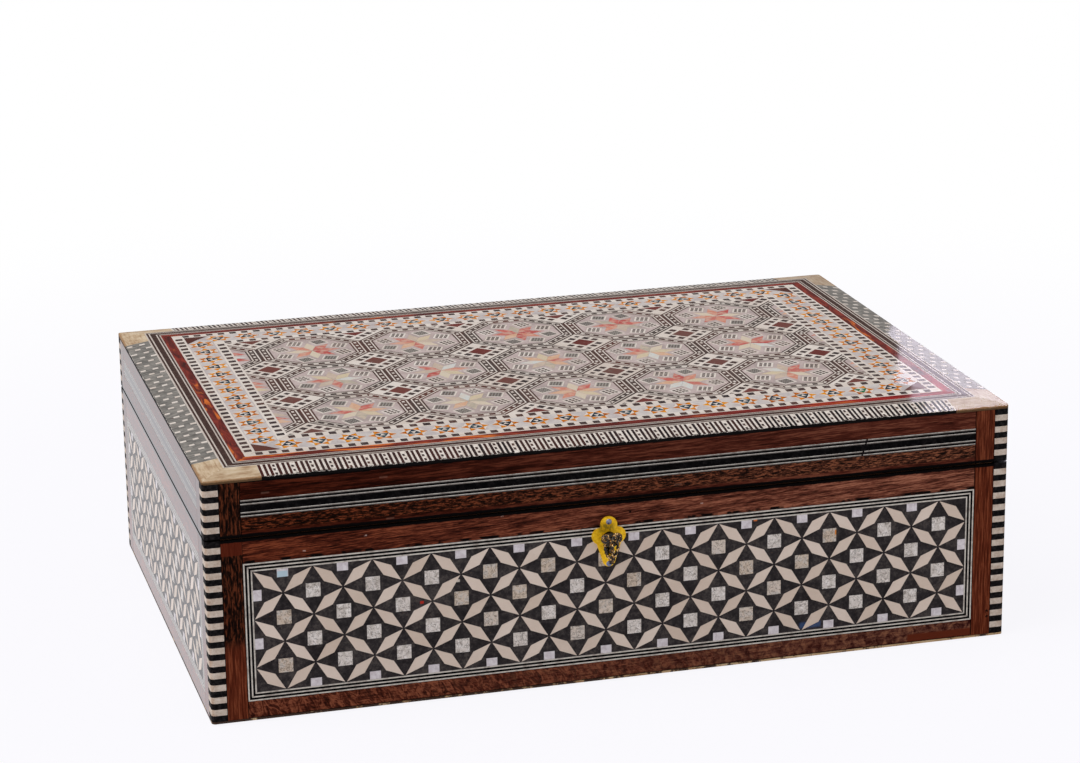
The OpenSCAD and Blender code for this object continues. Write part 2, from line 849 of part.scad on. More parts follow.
module key_bow() {
    for (z = [-pair_z, pair_z]) translate([0, pair_y, z]) bow_ring(pair_r);
    translate([0, tip_y, 0]) bow_ring(tip_r);
    for (y = [tip_y + tip_r + bead_r - 1, tip_y - tip_r - 0.9]) translate([0, y, 0]) sphere(r = bead_r);
}

module bow_ring(r) {
    rotate([0, 90, 0]) rotate_extrude() translate([r, 0]) circle(r = bow_wire);
}

// ---- Escutcheon ----

nail_r = 0.5;
nail_l = 2.4;
nail_levels = [base_h - 7.1, pane_z1 - cell_z - 1.6]; // the lower one goes through a pearl

// Children as plates of one thickness
module plates(t) {
    for (k = [0:$children - 1]) linear_extrude(t) children(k);
}

// A trefoil over a tapering tail
// The plate has two side lobes, a head lobe above them and a small toe below
lobe_r = 3.1;
lobe_x = 3.2; // the side lobes' centres beside the keyhole
lobe_up = 0.8;
head_up = 4.9;
waist_x = 4.6; // where the plate starts to narrow
waist_down = 1.7;
toe_r = 2;
toe_up = 0.9;

module escutcheon() {
    color("gold") translate([lock_x, -box_d / 2, 0]) rotate([90, 0, 0]) difference() {
        plates(scutcheon_t) {
            translate([0, key_z + head_up]) circle(r = lobe_r);
            for (side = [-1, 1]) translate([side * lobe_x, key_z + lobe_up]) circle(r = lobe_r);
            translate([-lobe_r, key_z]) square([2 * lobe_r, head_up]);
            polygon([
                [-waist_x, key_z - waist_down], [waist_x, key_z - waist_down],
                [toe_r, nail_levels[1]], [-toe_r, nail_levels[1]]
            ]);
            translate([-waist_x, key_z - waist_down]) square([2 * waist_x, waist_down]);
            translate([0, nail_levels[1] + toe_up]) circle(r = toe_r);
        }
        translate([0, 0, -1]) plates(scutcheon_t + 2) {
            translate([0, key_z]) circle(r = shank_r + 0.5);
            translate([-bit_t / 2 - 0.4, key_z - bit_reach - 0.4]) square([bit_t + 0.8, bit_reach]);
            translate([0, nail_levels[0]]) circle(r = nail_r + 0.02);
            translate([0, nail_levels[1]]) circle(r = nail_r + 0.02);
        }
    }
}

module escutcheon_nails() {
    face = -box_d / 2 - scutcheon_t;
    color("slategray") for (z = nail_levels) translate([lock_x, 0, z]) {
        bar_y(nail_r, face - 0.2, -box_d / 2 + nail_l);
        intersection() {
            translate([0, face + 0.9, 0]) sphere(r = 1.4);
            bar_y(2, face - 2, face);
        }
    }
}

// ---- Strike ----
// Drawn in the lock's frame

strike_l = 30;
strike_d = 5.6;
strike_x = -1; // the plate's middle beside the keyhole
strike_screw_x = [-11.5, 3.6]; // clear of the loop and of the lock's walls

module strike_screw_places() {
    for (x = strike_screw_x) translate([x, bolt_y - lock_y, key_drop + lid_gap]) children();
}

// Places a child that is centred on the strike's plate, on the underside of the lid's rim
module at_strike() {
    translate([strike_x, bolt_y - lock_y, key_drop + lid_gap]) children();
}

module strike_bed() {
    translate([-strike_l / 2 - 0.1, -strike_d / 2 - 0.1, -1]) cube([strike_l + 0.2, strike_d + 0.2, 1 + plate_t]);
}

module lid_strike() {
    hole_h = head_h + 0.6;
    color("goldenrod") at_lock() {
        difference() {
            at_strike() translate([-strike_l / 2, -strike_d / 2, 0]) cube([strike_l, strike_d, plate_t]);
            strike_screw_places() screw_hole(0, plate_t);
        }
        translate([loop_x - loop_t / 2, bolt_y - lock_y, 0]) difference() {
            translate([0, -loop_w / 2, key_drop - loop_h]) cube([loop_t, loop_w, loop_h + lid_gap + 0.1]);
            translate([-1, -bolt_t / 2 - 0.3, key_drop - bolt_top - head_h - 0.3])
                cube([loop_t + 2, bolt_t + 0.6, hole_h]);
        }
    }
}

// ---- Screws ----

module base_screws() {
    color("silver") {
        at_hinges() leaf_screw_places() translate([0, 0, -lid_gap / 2]) mirror([0, 0, 1]) screw();
        at_lock() lock_screw_places() rotate([90, 0, 0]) screw();
    }
}

module lid_screws() {
    color("silver") {
        at_hinges() leaf_screw_places() translate([0, 0, lid_gap / 2]) screw();
        at_lock() strike_screw_places() screw();
    }
}

// ---- Mosaic of the lid ----

// A flat shape in plan, as mosaic on the crowned surface
module crown_inlay() {
    intersection() {
        translate([0, 0, lid_skin_z - 1]) linear_extrude(field_z - lid_skin_z + 2) children();
        difference() {
            crown(0);
            crown(top_t);
        }
    }
}

// A flat shape in plan, as mosaic on the flat field
module field_inlay() {
    translate([0, 0, field_z - top_t]) linear_extrude(top_t) children();
}

// A child along each side, in its side's frame, on the line d inside the outer edge
module along_sides(d) {
    for (side = SIDES) rotate(90 * side) translate([0, d - across(side) / 2]) {
        $len = along(side) - 2 * d;
        $long = side % 2 == 0;
        children();
    }
}

module top_edge_strips() {
    color("ivory") crown_inlay() along_sides(0)
        translate([plate_leg - $len / 2, 0]) square([$len - 2 * plate_leg, edge_w]);
}

module top_corner_plates() {
    color("wheat") crown_inlay() intersection() {
        mitred(box_l, box_d, edge_w);
        rounded_plan();
        for (sx = [-1, 1], sy = [-1, 1])
            translate([sx * box_l / 2, sy * box_d / 2]) square(2 * plate_leg, center = true);
    }
}

module top_lines_2d(first) {
    lines_round(box_l - 2 * lines_d, box_d - 2 * lines_d, top_lines, first);
}

module top_string_bone() {
    color("white") crown_inlay() top_lines_2d(0);
}

module top_string_ebony() {
    color("black") crown_inlay() top_lines_2d(1);
}

module top_tortoiseshell() {
    color("firebrick") crown_inlay() mitred(box_l - 2 * shell_d, box_d - 2 * shell_d, shell_w);
}

module top_dash_borders() {
    color("ivory") crown_inlay() for (d = [dash_d, dash2_d])
        mitred(box_l - 2 * d, box_d - 2 * d, dash_w);
}

// A child at every star of the star band
module at_stars() {
    along_sides(star_d) {
        pitch = $long ? star_pitch_long : star_pitch_short;
        count = floor(($len - star_band - 2 * chip_gap) / pitch);
        for (k = [0:count - 1]) translate([(k - (count - 1) / 2) * pitch, star_band / 2]) {
            $up = k % 2 == 0;
            children();
        }
    }
}

module star_2d() {
    circle(r = star_r, $fn = 3);
    rotate(180) circle(r = star_r, $fn = 3);
}

module heart_2d(grow) {
    rotate($up ? 90 : -90) circle(r = 0.82 * star_r / sqrt(3) + 2 * grow, $fn = 3);
}

// The right triangles in the outer corners of the star band
module corners_2d(grow) {
    x = box_l / 2 - star_d - chip_gap;
    y = box_d / 2 - star_d - chip_gap;
    for (sx = [-1, 1], sy = [-1, 1]) scale([sx, sy])
        polygon([[x, y], [x - star_corner - grow, y], [x, y - star_corner - grow]]);
}

module top_star_ground() {
    color("thistle") crown_inlay() difference() {
        mitred(box_l - 2 * star_d, box_d - 2 * star_d, star_band);
        at_stars() star_2d();
        corners_2d(chip_gap);
    }
}

module top_star_corners() {
    color("maroon") crown_inlay() corners_2d(0);
}

module top_star_points() {
    color("darkorange") crown_inlay() at_stars() for (k = [0:5]) rotate(60 * k)
        translate([2 * star_r / 3, 0]) circle(r = star_r / 3 - 2 * chip_gap, $fn = 3);
}

module top_star_centres() {
    color("white") crown_inlay() at_stars() difference() {
        rotate(30) circle(r = star_r / sqrt(3) - chip_gap, $fn = 6);
        heart_2d(0);
    }
}

module top_star_hearts() {
    color("darkslategray") crown_inlay() at_stars() heart_2d(-chip_gap / 2);
}

// A child at every octagon of the field: whole ones, or also those that the border cuts
module at_octagons(cut_too) {
    whole = floor(((field_l - 2 * abs(tile_shift)) / tile_l - 1) / 2);
    reach = cut_too ? ceil(((field_l + 2 * abs(tile_shift)) / tile_l - 1) / 2) : whole;
    for (c = [-reach:reach], r = [0:tile_rows - 1]) on_tile(c, r - (tile_rows - 1) / 2) children();
}

// A child in the pattern's place c octagons right of the middle one and r behind it
module on_tile(c, r) {
    translate([tile_shift + c * tile_l, r * tile]) scale([tile_squeeze, 1]) children();
}

module octagon(flats) {
    rotate(22.5) circle(d = flats / cos(22.5), $fn = 8);
}

module petals_2d(grow) {
    side = petal_side - chip_gap + grow;
    far_tip = 2 * side * cos(22.5);
    for (k = [0:7]) rotate(45 * k) translate([chip_gap * 1.3 - grow, 0])
        polygon([[0, 0], side * [cos(22.5), sin(22.5)], [far_tip, 0], side * [cos(22.5), -sin(22.5)]]);
}

module squares_2d(grow) {
    for (k = [0:7]) rotate(45 * k + 22.5) translate([square_r, 0]) rotate(45)
        square(square_w + 2 * grow, center = true);
}

module field_frame_2d() {
    square([field_l, field_w], center = true);
}

module field_ground() {
    color("thistle") field_inlay() intersection() {
        field_frame_2d();
        at_octagons(true) octagon(ring_in);
        difference() {
            field_frame_2d();
            at_octagons(false) {
                petals_2d(chip_gap / 2);
                squares_2d(glue);
            }
        }
    }
}

module field_rings() {
    inner = ring_in / 2;
    outer = tile / 2;
    color("ivory") field_inlay() intersection() {
        field_frame_2d();
        at_octagons(true) for (k = [0:7]) rotate(45 * k) {
            a = inner * tan(22.5) - chip_gap / 2;
            b = (outer - chip_gap / 2) * tan(22.5) - chip_gap / 2;
            polygon([[inner, -a], [outer - chip_gap / 2, -b], [outer - chip_gap / 2, b], [inner, a]]);
        }
    }
}

module field_petals() {
    color("salmon") field_inlay() at_octagons(false) petals_2d(0);
}

module field_squares() {
    color("lightgray") field_inlay() at_octagons(false) squares_2d(0);
}

module field_diamonds() {
    half_diag = tile * tan(22.5) / sqrt(2);
    reach = ceil((field_l / 2 + abs(tile_shift)) / tile_l);
    color("antiquewhite") field_inlay() intersection() {
        field_frame_2d();
        for (c = [-reach:reach - 1], r = [0:tile_rows])
            on_tile(c + 0.5, r - tile_rows / 2) circle(r = half_diag - chip_gap, $fn = 4);
    }
}

foot_felt();
base_floor();
base_front_board();
base_back_board();
base_left_board();
base_right_board();
base_corner_bone();
base_corner_ebony();
base_rails();
base_stiles();
base_string_bone();
base_string_ebony();
base_front_field();
base_back_field();
base_side_fields();
base_lozenges();
base_pearls();
base_lining();
escutcheon();
escutcheon_nails();
lock_case();
lock_cap();
lock_bolt();
lock_pin();
key();
hinge_base_leaves();
hinge_pins();
base_screws();
lid_top_board();
lid_front_rim();
lid_back_rim();
lid_side_rims();
lid_corner_bone();
lid_corner_ebony();
lid_rails();
lid_stiles();
lid_string_bone();
lid_string_ebony();
lid_lining();
hinge_lid_leaves();
lid_strike();
lid_screws();
top_edge_strips();
top_corner_plates();
top_string_bone();
top_string_ebony();
top_tortoiseshell();
top_dash_borders();
top_star_ground();
top_star_points();
top_star_centres();
top_star_hearts();
top_star_corners();
field_ground();
field_rings();
field_petals();
field_squares();
field_diamonds();
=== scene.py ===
"""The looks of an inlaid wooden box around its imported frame: lacquered veneers and bone on the sides,
a micro-mosaic lid, brass fittings and a cast key, on a pale floor. Sizes are in millimetres until a
mesh is made. +X is right, +Y is back, +Z is up."""
import random
from functools import cached_property
from math import cos, pi, radians, sin, sqrt, tan

import bmesh
import bpy
from mathutils import Matrix, Vector

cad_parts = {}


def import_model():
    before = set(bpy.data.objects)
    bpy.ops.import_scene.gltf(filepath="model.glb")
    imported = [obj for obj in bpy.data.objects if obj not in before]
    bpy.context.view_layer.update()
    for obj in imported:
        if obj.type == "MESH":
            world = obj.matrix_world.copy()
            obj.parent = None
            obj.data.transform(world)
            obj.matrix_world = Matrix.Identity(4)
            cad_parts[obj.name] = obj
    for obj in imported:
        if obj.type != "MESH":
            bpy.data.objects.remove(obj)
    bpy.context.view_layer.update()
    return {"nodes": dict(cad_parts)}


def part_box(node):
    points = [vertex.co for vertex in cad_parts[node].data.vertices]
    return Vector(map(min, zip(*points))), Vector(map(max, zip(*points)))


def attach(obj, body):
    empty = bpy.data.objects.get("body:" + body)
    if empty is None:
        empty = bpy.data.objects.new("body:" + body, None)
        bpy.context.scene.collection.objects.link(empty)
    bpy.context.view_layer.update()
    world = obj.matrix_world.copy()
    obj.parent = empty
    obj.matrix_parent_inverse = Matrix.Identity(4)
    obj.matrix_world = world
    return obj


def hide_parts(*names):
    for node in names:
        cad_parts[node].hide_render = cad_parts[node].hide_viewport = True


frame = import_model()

MM = 0.001
random.seed(11)

# Sizes of the box that the inlay follows
BOX_L, BOX_D = 300, 202
FRONT_Y = -BOX_D / 2
SEAM_Z, BAND_Z, EDGE_Z, CROWN_Z, FIELD_Z = 68.75, 79.65, 90.4, 91.8, 92.8
EDGE_W, FIELD_IN = 9.3, 37.5  # the outer strip's width, the field's distance in
PLATE_LEG = 21
DASH_IN, STAR_IN, DASH2_IN = 18.7, 23, 33.2
DASH_W, STAR_BAND = 4.3, 10.2
STAR_R, HEART_R, SEED_R, STAR_PITCH = 5.2, 3.1, 1.2, (11.4, 10.9)
NOTCH_R = STAR_R / sqrt(3)
CHIP_GAP, FRAME_GAP = 0.1, 0.02
CHIP_DEEP, SKIN_DEEP = 1.2, 0.3  # chips with a seat of their own, and chips let into other chips
FIELD_L, FIELD_W = BOX_L - 2 * FIELD_IN, BOX_D - 2 * FIELD_IN
TILE = FIELD_W / 3
SQUEEZE, SHIFT = 0.983, 1.2  # the octagons are a little narrow and start off the middle
RING_IN = TILE * (1 - 2 * 0.116)
SQUARE_W = TILE * 0.146
SQUARE_R = RING_IN / 2 / cos(pi / 8) - SQUARE_W / sqrt(2) - TILE * 0.012
PETAL_SIDE = SQUARE_R - SQUARE_W / sqrt(2) - TILE * 0.052 - CHIP_GAP
PANE_Z0, PANE_Z1, PANE_ROWS = 10.95, 56.05, 5
PANE_U, PANE_CELLS = (133.65, 84.65), (25, 16)  # half length and cells: front and back, then sides
STILE_MID, STILE_HALF = (140.65, 91.65), 3.85
BAND_LINES = 2.175, 0.65  # a pair of bone lines: its middle from the band's, each line from its middle
PANE_LINES = 1.575, 1.3  # the first bone line from a pane, the second from the first
LOCK_X, KEY_Z = -4.2, 55.2

# Light
AMBIENT = 0.5
SUN, SUN_FROM, SUN_SPREAD = 1.8, (-1, -0.14, 1.25), 50
CARD_W, CARD_Y = 0.4, 1.2  # metres
FLOOR_GLOW = 0.93  # how much of the floor shows as plain backdrop
FLOOR_Z, FLOOR_FADE, FLOOR_REACH = -0.02, (250, 700), 6  # the reach is in metres


# ---- Camera and lamps ----

def linked(name, data):
    made = bpy.data.objects.new(name, data)
    bpy.context.scene.collection.objects.link(made)
    return made


def camera():
    focal, width = 3154.6, 1080  # in picture elements
    az, el, roll = radians(15.202), radians(16.415), radians(-0.769)
    ahead = Vector((sin(az) * cos(el), cos(az) * cos(el), -sin(el)))
    right = Vector((cos(az), -sin(az), 0))
    up = right.cross(ahead)
    x_axis = right * cos(roll) + up * sin(roll)
    y_axis = up * cos(roll) - right * sin(roll)
    place = Vector((34.02, 130.37, 45)) - ahead * 1358
    data = bpy.data.cameras.new("camera")
    data.sensor_width, data.lens = 36, 36 * focal / width
    data.clip_start, data.clip_end = 0.05, 50
    made = linked("camera", data)
    turn = Matrix((x_axis, y_axis, -ahead)).transposed().to_4x4()
    made.matrix_world = Matrix.Translation(place * MM) @ turn
    bpy.context.scene.camera = made


def soft_sun():
    data = bpy.data.lights.new("soft_sun", "SUN")
    data.energy, data.angle = SUN, radians(SUN_SPREAD)
    linked("soft_sun", data).rotation_euler = (-Vector(SUN_FROM)).to_track_quat("-Z", "Y").to_euler()


def light_card(name, left, low, high, glow):
    """A lamp behind the box that faces forward. It only gleams on the lid's right corner."""
    data = bpy.data.lights.new(name, "AREA")
    data.shape, data.size, data.size_y = "RECTANGLE", CARD_W, high - low
    data.energy, data.color = glow * pi * CARD_W * (high - low), (0.92, 0.84, 1)
    made = linked(name, data)
    made.location = left + CARD_W / 2, CARD_Y, (low + high) / 2
    made.rotation_euler = Vector((0, -1, 0)).to_track_quat("-Z", "Y").to_euler()
    made.visible_camera = made.visible_diffuse = False


# ---- Shader values and paints ----

def maths(operation, swapped=False):
    """An operator of Value that adds a Math node."""
    def act(self, *others):
        parts = (*others, self) if swapped else (self, *others)
        return self.paint.node("Math", {"operation": operation}, dict(enumerate(parts)))
    return act


class Value:
    """A shader socket that takes part in Python's own sums. A colour is a socket or red, green and
    blue as they are seen, 0 to 255."""

    def __init__(self, paint, socket):
        self.paint, self.socket = paint, socket

    __add__ = __radd__ = maths("ADD")
    __mul__ = __rmul__ = maths("MULTIPLY")
    __sub__, __rsub__ = maths("SUBTRACT"), maths("SUBTRACT", True)
    __gt__, __lt__ = maths("GREATER_THAN"), maths("LESS_THAN")
    __abs__, floor, sign = maths("ABSOLUTE"), maths("FLOOR"), maths("SIGN")
    most, least = maths("MAXIMUM"), maths("MINIMUM")

    def step(self, low, high):
        """0 below low, 1 above high, and smooth between."""
        return self.paint.node("MapRange", {"interpolation_type": "SMOOTHSTEP"},
                               {"Value": self, "From Min": low, "From Max": high})

    def near(self, middle, half, soft=0.2):
        """1 within half of middle."""
        return 1 - abs(self - middle).step(half, half + soft)

    def ramp(self, *stops, blend="LINEAR"):
        stops = [(position, linear(colour)) for position, colour in stops]
        return self.paint.node("ValToRGB", {"stops": stops, "interpolation": blend}, {0: self})

    def shades(self, spread, dark, mid, light):
        """Three shades about the middle of a noise."""
        return self.ramp((0.5 - spread, dark), (0.5, mid), (0.5 + spread, light))

    def tint(self, share, colour):
        """This colour with a share of another over it."""
        return self.paint.mix(share, self, colour)


def linear(colour):
    """The shader's linear values for a colour as it is seen. Sockets and linear values pass."""
    if isinstance(colour, Value) or len(colour) == 4:
        return colour
    parts = [c / 255 for c in colour]
    return (*(c / 12.92 if c <= 0.04045 else ((c + 0.055) / 1.055) ** 2.4 for c in parts), 1)


class Paint:
    """The nodes of one material. Its places are in millimetres and stay with the piece."""

    def __init__(self, owner):
        owner.use_nodes = True
        self.tree = owner.node_tree
        self.tree.nodes.clear()
        at = self.node("TexCoord", output="Object")
        self.at = self.node("VectorMath", {"operation": "SCALE"}, {0: at, "Scale": 1000})
        self.x, self.y, self.z = (self.node("SeparateXYZ", None, {0: self.at}, k) for k in range(3))

    def node(self, kind, settings=None, inputs=None, output=0):
        made = self.tree.nodes.new("ShaderNode" + kind)
        for name, setting in (settings or {}).items():
            if name == "stops":
                ramp = made.color_ramp.elements
                while len(ramp) < len(setting):
                    ramp.new(0.5)
                for stop, (position, colour) in zip(ramp, setting):
                    stop.position, stop.color = position, colour
            else:
                setattr(made.color_ramp if name == "interpolation" else made, name, setting)
        for key, value in (inputs or {}).items():
            if isinstance(value, Value):
                self.tree.links.new(value.socket, made.inputs[key])
            else:
                made.inputs[key].default_value = value
        return Value(self, made.outputs[output]) if len(made.outputs) else None

    def place(self, *parts):
        return self.node("CombineXYZ", None, dict(enumerate(parts)))

    def run(self, side):
        """The places along and across a strip that runs along Y where side is 1, and else along X."""
        return self.x + (self.y - self.x) * side, self.y + (self.x - self.y) * side

    @cached_property
    def side(self):
        """1 on the left and right walls and 0 on the front and back."""
        return abs(self.x) > BOX_L / 2 - 3

    @cached_property
    def along(self):
        """The place along a wall."""
        return self.run(self.side)[0]

    def each_wall(self, sizes):
        """The first of two sizes on the front and back walls, the second on the side walls."""
        return sizes[0] + (sizes[1] - sizes[0]) * self.side

    def grain(self, tilt=0.0, upright=False):
        """The place with its first axis along the fibres of a wall's veneer: along it or up."""
        along, across = self.run(self.side)
        first, second = (self.z, along) if upright else (along, self.z)
        return self.place(first, second - first * tilt, across)

    def lid_run(self, squash):
        """The place on a strip of the lid: along it, shortened by squash, and across it."""
        along, across = self.run(abs(self.x) - abs(self.y) > (BOX_L - BOX_D) / 2)
        return self.place(along * squash, across)

    def chip(self):
        """A number from 0 to 1 that differs from chip to chip."""
        return self.node("NewGeometry", output="Random Per Island")

    def noise(self, size, detail=3, rough=0.5, warp=0, at=None):
        """Noise from 0 to 1 with lumps of about size millimetres."""
        return self.node("TexNoise", None, {"Vector": at or self.at, "Scale": 1 / size, "Detail": detail,
                                            "Roughness": rough, "Distortion": warp})

    def strands(self, at, thick, long, detail=4, rough=0.6, warp=0.2):
        """Noise that is drawn out along the first axis."""
        drawn = self.node("VectorMath", {"operation": "MULTIPLY"}, {0: at, 1: (thick / long, 1, 1)})
        return self.noise(thick, detail, rough, warp, drawn)

    def spot(self, u, z, wide, high, soft=0.3):
        """1 in a block of the front wall about (u, z), wide and high."""
        return (self.x.near(u, wide / 2, soft) * self.z.near(z, high / 2, soft)
                * (abs(self.y - FRONT_Y) < 2))

    def mix(self, share, first, second):
        return self.node("Mix", {"data_type": "RGBA"}, {0: share, 6: linear(first), 7: linear(second)}, 2)

    def finish(self, colour, rough, bump, height, metal=0, coat=0, **fixed):
        """Ends the paint. height is how deep the bump is, in millimetres."""
        normal = self.node("Bump", None, {"Height": bump, "Strength": 1, "Distance": height * MM})
        inputs = {"Base Color": colour, "Roughness": rough, "Metallic": metal, "Coat Weight": coat,
                  "Normal": normal}
        inputs.update({name.replace("_", " "): value for name, value in fixed.items()})
        self.node("OutputMaterial", None, {"Surface": self.node("BsdfPrincipled", None, inputs)})

    def lacquer(self, colour, rough, bump, weight, height=0.015):
        """Ends a paint under the sides' lacquer, which shines where it is seen at a slant."""
        slant = self.node("LayerWeight", None, {"Blend": 0.5}, "Facing")
        self.finish(colour, rough, bump, height, coat=slant.step(0.3, 0.74) * weight,
                    Coat_Roughness=0.06, Coat_IOR=1.6, Specular_IOR_Level=0)

    def lid_lacquer(self, colour, rough, bump, height=0.008):
        self.finish(colour, rough, bump, height, coat=LID_COAT, Coat_Roughness=0.05, Coat_IOR=1.33,
                    Specular_IOR_Level=0)


LID_COAT = 0.11
# Near black: dark joints, cracks and edges, and the painted shade beside the seam
DARK_MARKS_AND_SHADE = 12, 10, 10


def shaded_at_seam(paint, colour):
    """Painted shade: darkens the ragged edges of base and lid beside the gap between them, where the gap's
    shadow falls.
    """
    ragged = paint.noise(2.2, 4, 0.7) * 0.7
    return colour.tint(1 - (abs(paint.z - SEAM_Z) + ragged).step(1.62, 1.9), DARK_MARKS_AND_SHADE)


def walled(paint, wood):
    """Painted reflection: the left and right walls' veneer is tinted a little lighter and redder, as glare
    at a slant shows it. Black along the lid's upper edge, and painted shade beside the seam.
    """
    # painted reflection: a lighter, redder tint on the side walls
    wood = wood.tint(paint.side * 0.12, (172, 84, 78))
    upper_edge = (paint.z + paint.noise(3, 4, 0.7) * 2).step(EDGE_Z - 0.35, EDGE_Z)
    return shaded_at_seam(paint, wood.tint(upper_edge * paint.side, DARK_MARKS_AND_SHADE))


def base_rails(paint):
    """Red-brown veneer, painted lighter towards the right for the light that falls there; below the panes
    it is figured and blotched.
    """
    # painted light: the wood's shades grow lighter towards the right; below the panes this mask also turns
    # the figure to blotches
    right = paint.x.step(-130, 130)
    at = paint.grain(0.05)
    fibre = paint.strands(at, 0.42, 5.5, 3, 0.7)
    value = paint.strands(at, 2.8, 34, 3) * 0.36 + fibre * 0.64
    wood = value.shades(0.1, (30, 11, 8), (76, 32, 21), (124, 62, 40)).tint(
        right, value.shades(0.1, (50, 24, 18), (104, 57, 44), (156, 100, 78)))
    pore = paint.strands(at, 0.5, 6, 2).step(0.58, 0.68)
    figure = paint.noise(3.2, 4, 0.65, 1.6, paint.grain(-0.9)) * 0.7 + fibre * 0.3
    blotch = paint.noise(2.6, 5, 0.7, 0.5) * 0.7 + fibre * 0.3
    low = figure.shades(0.09, (40, 16, 12), (84, 40, 28), (134, 76, 54)).tint(
        right, blotch.shades(0.09, (48, 18, 16), (88, 52, 42), (128, 84, 62)))
    smear = paint.z.near(59.8, 0.35, 0.3) * paint.noise(6, 4).step(0.46, 0.56)
    wood = wood.tint(pore * 0.6, (26, 12, 9)).tint(paint.z < 9, low).tint(smear, DARK_MARKS_AND_SHADE)
    crumb = paint.noise(0.5).step(0.42, 0.52)
    for u, z in ((-93, 65.2), (-115, 61.8), (-43.5, 67.2), (31, 64.5)):
        wood = wood.tint(paint.spot(u, z, 0.7, 0.2) * crumb * 0.7, (190, 160, 150))
    wood = wood.tint(paint.spot(4, 64, 0.5, 0.5), DARK_MARKS_AND_SHADE)
    wood = wood.tint(paint.spot(125, 2.6, 26, 3, 1.0), (92, 40, 25))
    rim = 1 - (paint.z + paint.noise(1.8, 4, 0.7) * 1.2).step(2.2, 2.6)
    paint.lacquer(walled(paint, wood.tint(rim * 0.85, (28, 16, 12))), 0.5, fibre - pore, 0.88)


def stile_wood(paint, flecked_low, *smooth):
    """Upright veneer, flecked dark towards the left and smooth red-brown towards the right."""
    at = paint.grain(upright=True)
    fibre = paint.strands(at, 0.6, 10, 4, 0.65)
    fleck = paint.strands(at, 0.6, 3.4, 3, 0.65, 0.4)
    where = (1 - paint.z.step(flecked_low, flecked_low + 6)).most(paint.x.step(60, 80))
    wood = fleck.shades(0.1, (14, 9, 8), (38, 19, 13), (88, 44, 27)).tint(
        where, fibre.shades(0.13, *smooth))
    holes = paint.x.near(143.2, 0.4) * paint.z.near(9.4, 1.6) * paint.noise(0.7, 2).step(0.48, 0.52)
    out = abs(abs(paint.along) - paint.each_wall(STILE_MID)) + paint.noise(3) * 0.25
    wood = wood.tint(holes, DARK_MARKS_AND_SHADE).tint(out.step(STILE_HALF - 0.22, STILE_HALF - 0.02), DARK_MARKS_AND_SHADE)
    ragged = paint.noise(1.2, 3, 0.6) * 1.2
    patch = (abs(paint.z + ragged - 66.1) < 2.9) * (paint.x < -130) * (paint.y < FRONT_Y + 2)
    wood = wood.tint(patch, fibre.shades(0.2, (66, 24, 15), (78, 30, 18), (92, 40, 26)))
    paint.lacquer(walled(paint, wood), 0.5, fibre, 0.82)


def lid_rails(paint):
    """The lid's rails: plain red-brown above the banding, painted lighter towards the right; below it pores
    and orange fibres.
    """
    # painted light: the shades grow lighter towards the right
    right = paint.x.step(-130, 130)
    at = paint.grain(0.02)
    broad = paint.strands(at, 2.4, 40, 3)
    fibre = paint.strands(at, 0.42, 7, 3, 0.7)
    value = broad * 0.4 + fibre * 0.6
    plain = value.shades(0.1, (22, 8, 5), (47, 16, 10), (80, 34, 21)).tint(
        right, value.shades(0.1, (44, 18, 13), (79, 36, 27), (114, 66, 50)))
    fleck = paint.strands(at, 0.46, 2.2, 3, 0.7, 0.3)
    rough = fleck.shades(0.1, (12, 7, 5), (44, 19, 11), (112, 54, 32)).tint(
        right, fleck.shades(0.1, (24, 14, 11), (74, 41, 31), (132, 80, 57)))
    pore = paint.strands(at, 0.45, 3, 2, 0.6).step(0.52, 0.6)
    rough = plain.tint((paint.z + broad).step(71.3, 72.3), rough.tint(pore * 0.8, (14, 10, 9)))
    upper_edge = (paint.z + paint.noise(5, 4, 0.7) * 1.4 - right * 0.8).step(89.3, 89.6)
    wood = plain.tint(paint.z < 79, rough).tint(upper_edge, DARK_MARKS_AND_SHADE)
    for u, z in ((-128, 84.5), (-86, 86), (-84, 70.6), (22, 72.5)):
        wood = wood.tint(paint.spot(u, z, 2.4, 0.1, 0.5) * 0.22, (150, 110, 95))
    paint.lacquer(walled(paint, wood), 0.5, fibre, 0.8)


def ebony(paint, dark, mid, light, on_lid=False):
    """Black wood with a brown mottle and a few pale specks."""
    fibre = paint.noise(0.5, 3, 0.6)
    wood = (paint.noise(1.7, 5, 0.75) * 0.7 + fibre * 0.3).shades(0.12, dark, mid, light)
    wood = wood.tint(paint.noise(0.5, 2).step(0.72, 0.78) * 0.4, (150, 135, 110))
    if on_lid:
        paint.lid_lacquer(wood, 0.45, fibre)
    else:
        # painted reflection: the side walls' ebony is tinted lighter and purplish; painted shade beside the
        # seam
        wood = wood.tint(paint.side * 0.12, (76, 44, 58))
        paint.lacquer(shaded_at_seam(paint, wood), 0.45, fibre, 0.6 + 0.28 * paint.side)


def cell_number(paint, shift):
    """A number from 0 to 1 for each cell of the panes' lattice, or with shift 0.5 each crossing."""
    per_mm = paint.each_wall([PANE_CELLS[k] / 2 / PANE_U[k] for k in (0, 1)])
    u = (paint.along + paint.each_wall(PANE_U)) * per_mm + shift
    v = (paint.z - PANE_Z0) * (PANE_ROWS / (PANE_Z1 - PANE_Z0)) + shift
    cell = paint.place(u.floor(), v.floor(), (paint.x + paint.y * 3).sign())
    return paint.node("TexWhiteNoise", {"noise_dimensions": "3D"}, {"Vector": cell}, "Value")


def lozenge_bone(paint):
    """Camel-bone lozenges of one shade each, with faint fibres."""
    fibre = paint.noise(0.7, 4, 0.65, 0.4)
    value = cell_number(paint, 0) * 0.45 + fibre * 0.3 + paint.noise(5) * 0.3
    surface = value.ramp((0.22, (200, 180, 164)), (0.55, (211, 193, 179)), (0.85, (220, 204, 192)))
    surface = surface.tint(paint.noise(1.3, 5, 0.75).step(0.66, 0.74) * 0.2, (190, 140, 114))
    paint.lacquer(surface, 0.4, fibre, 0.6)


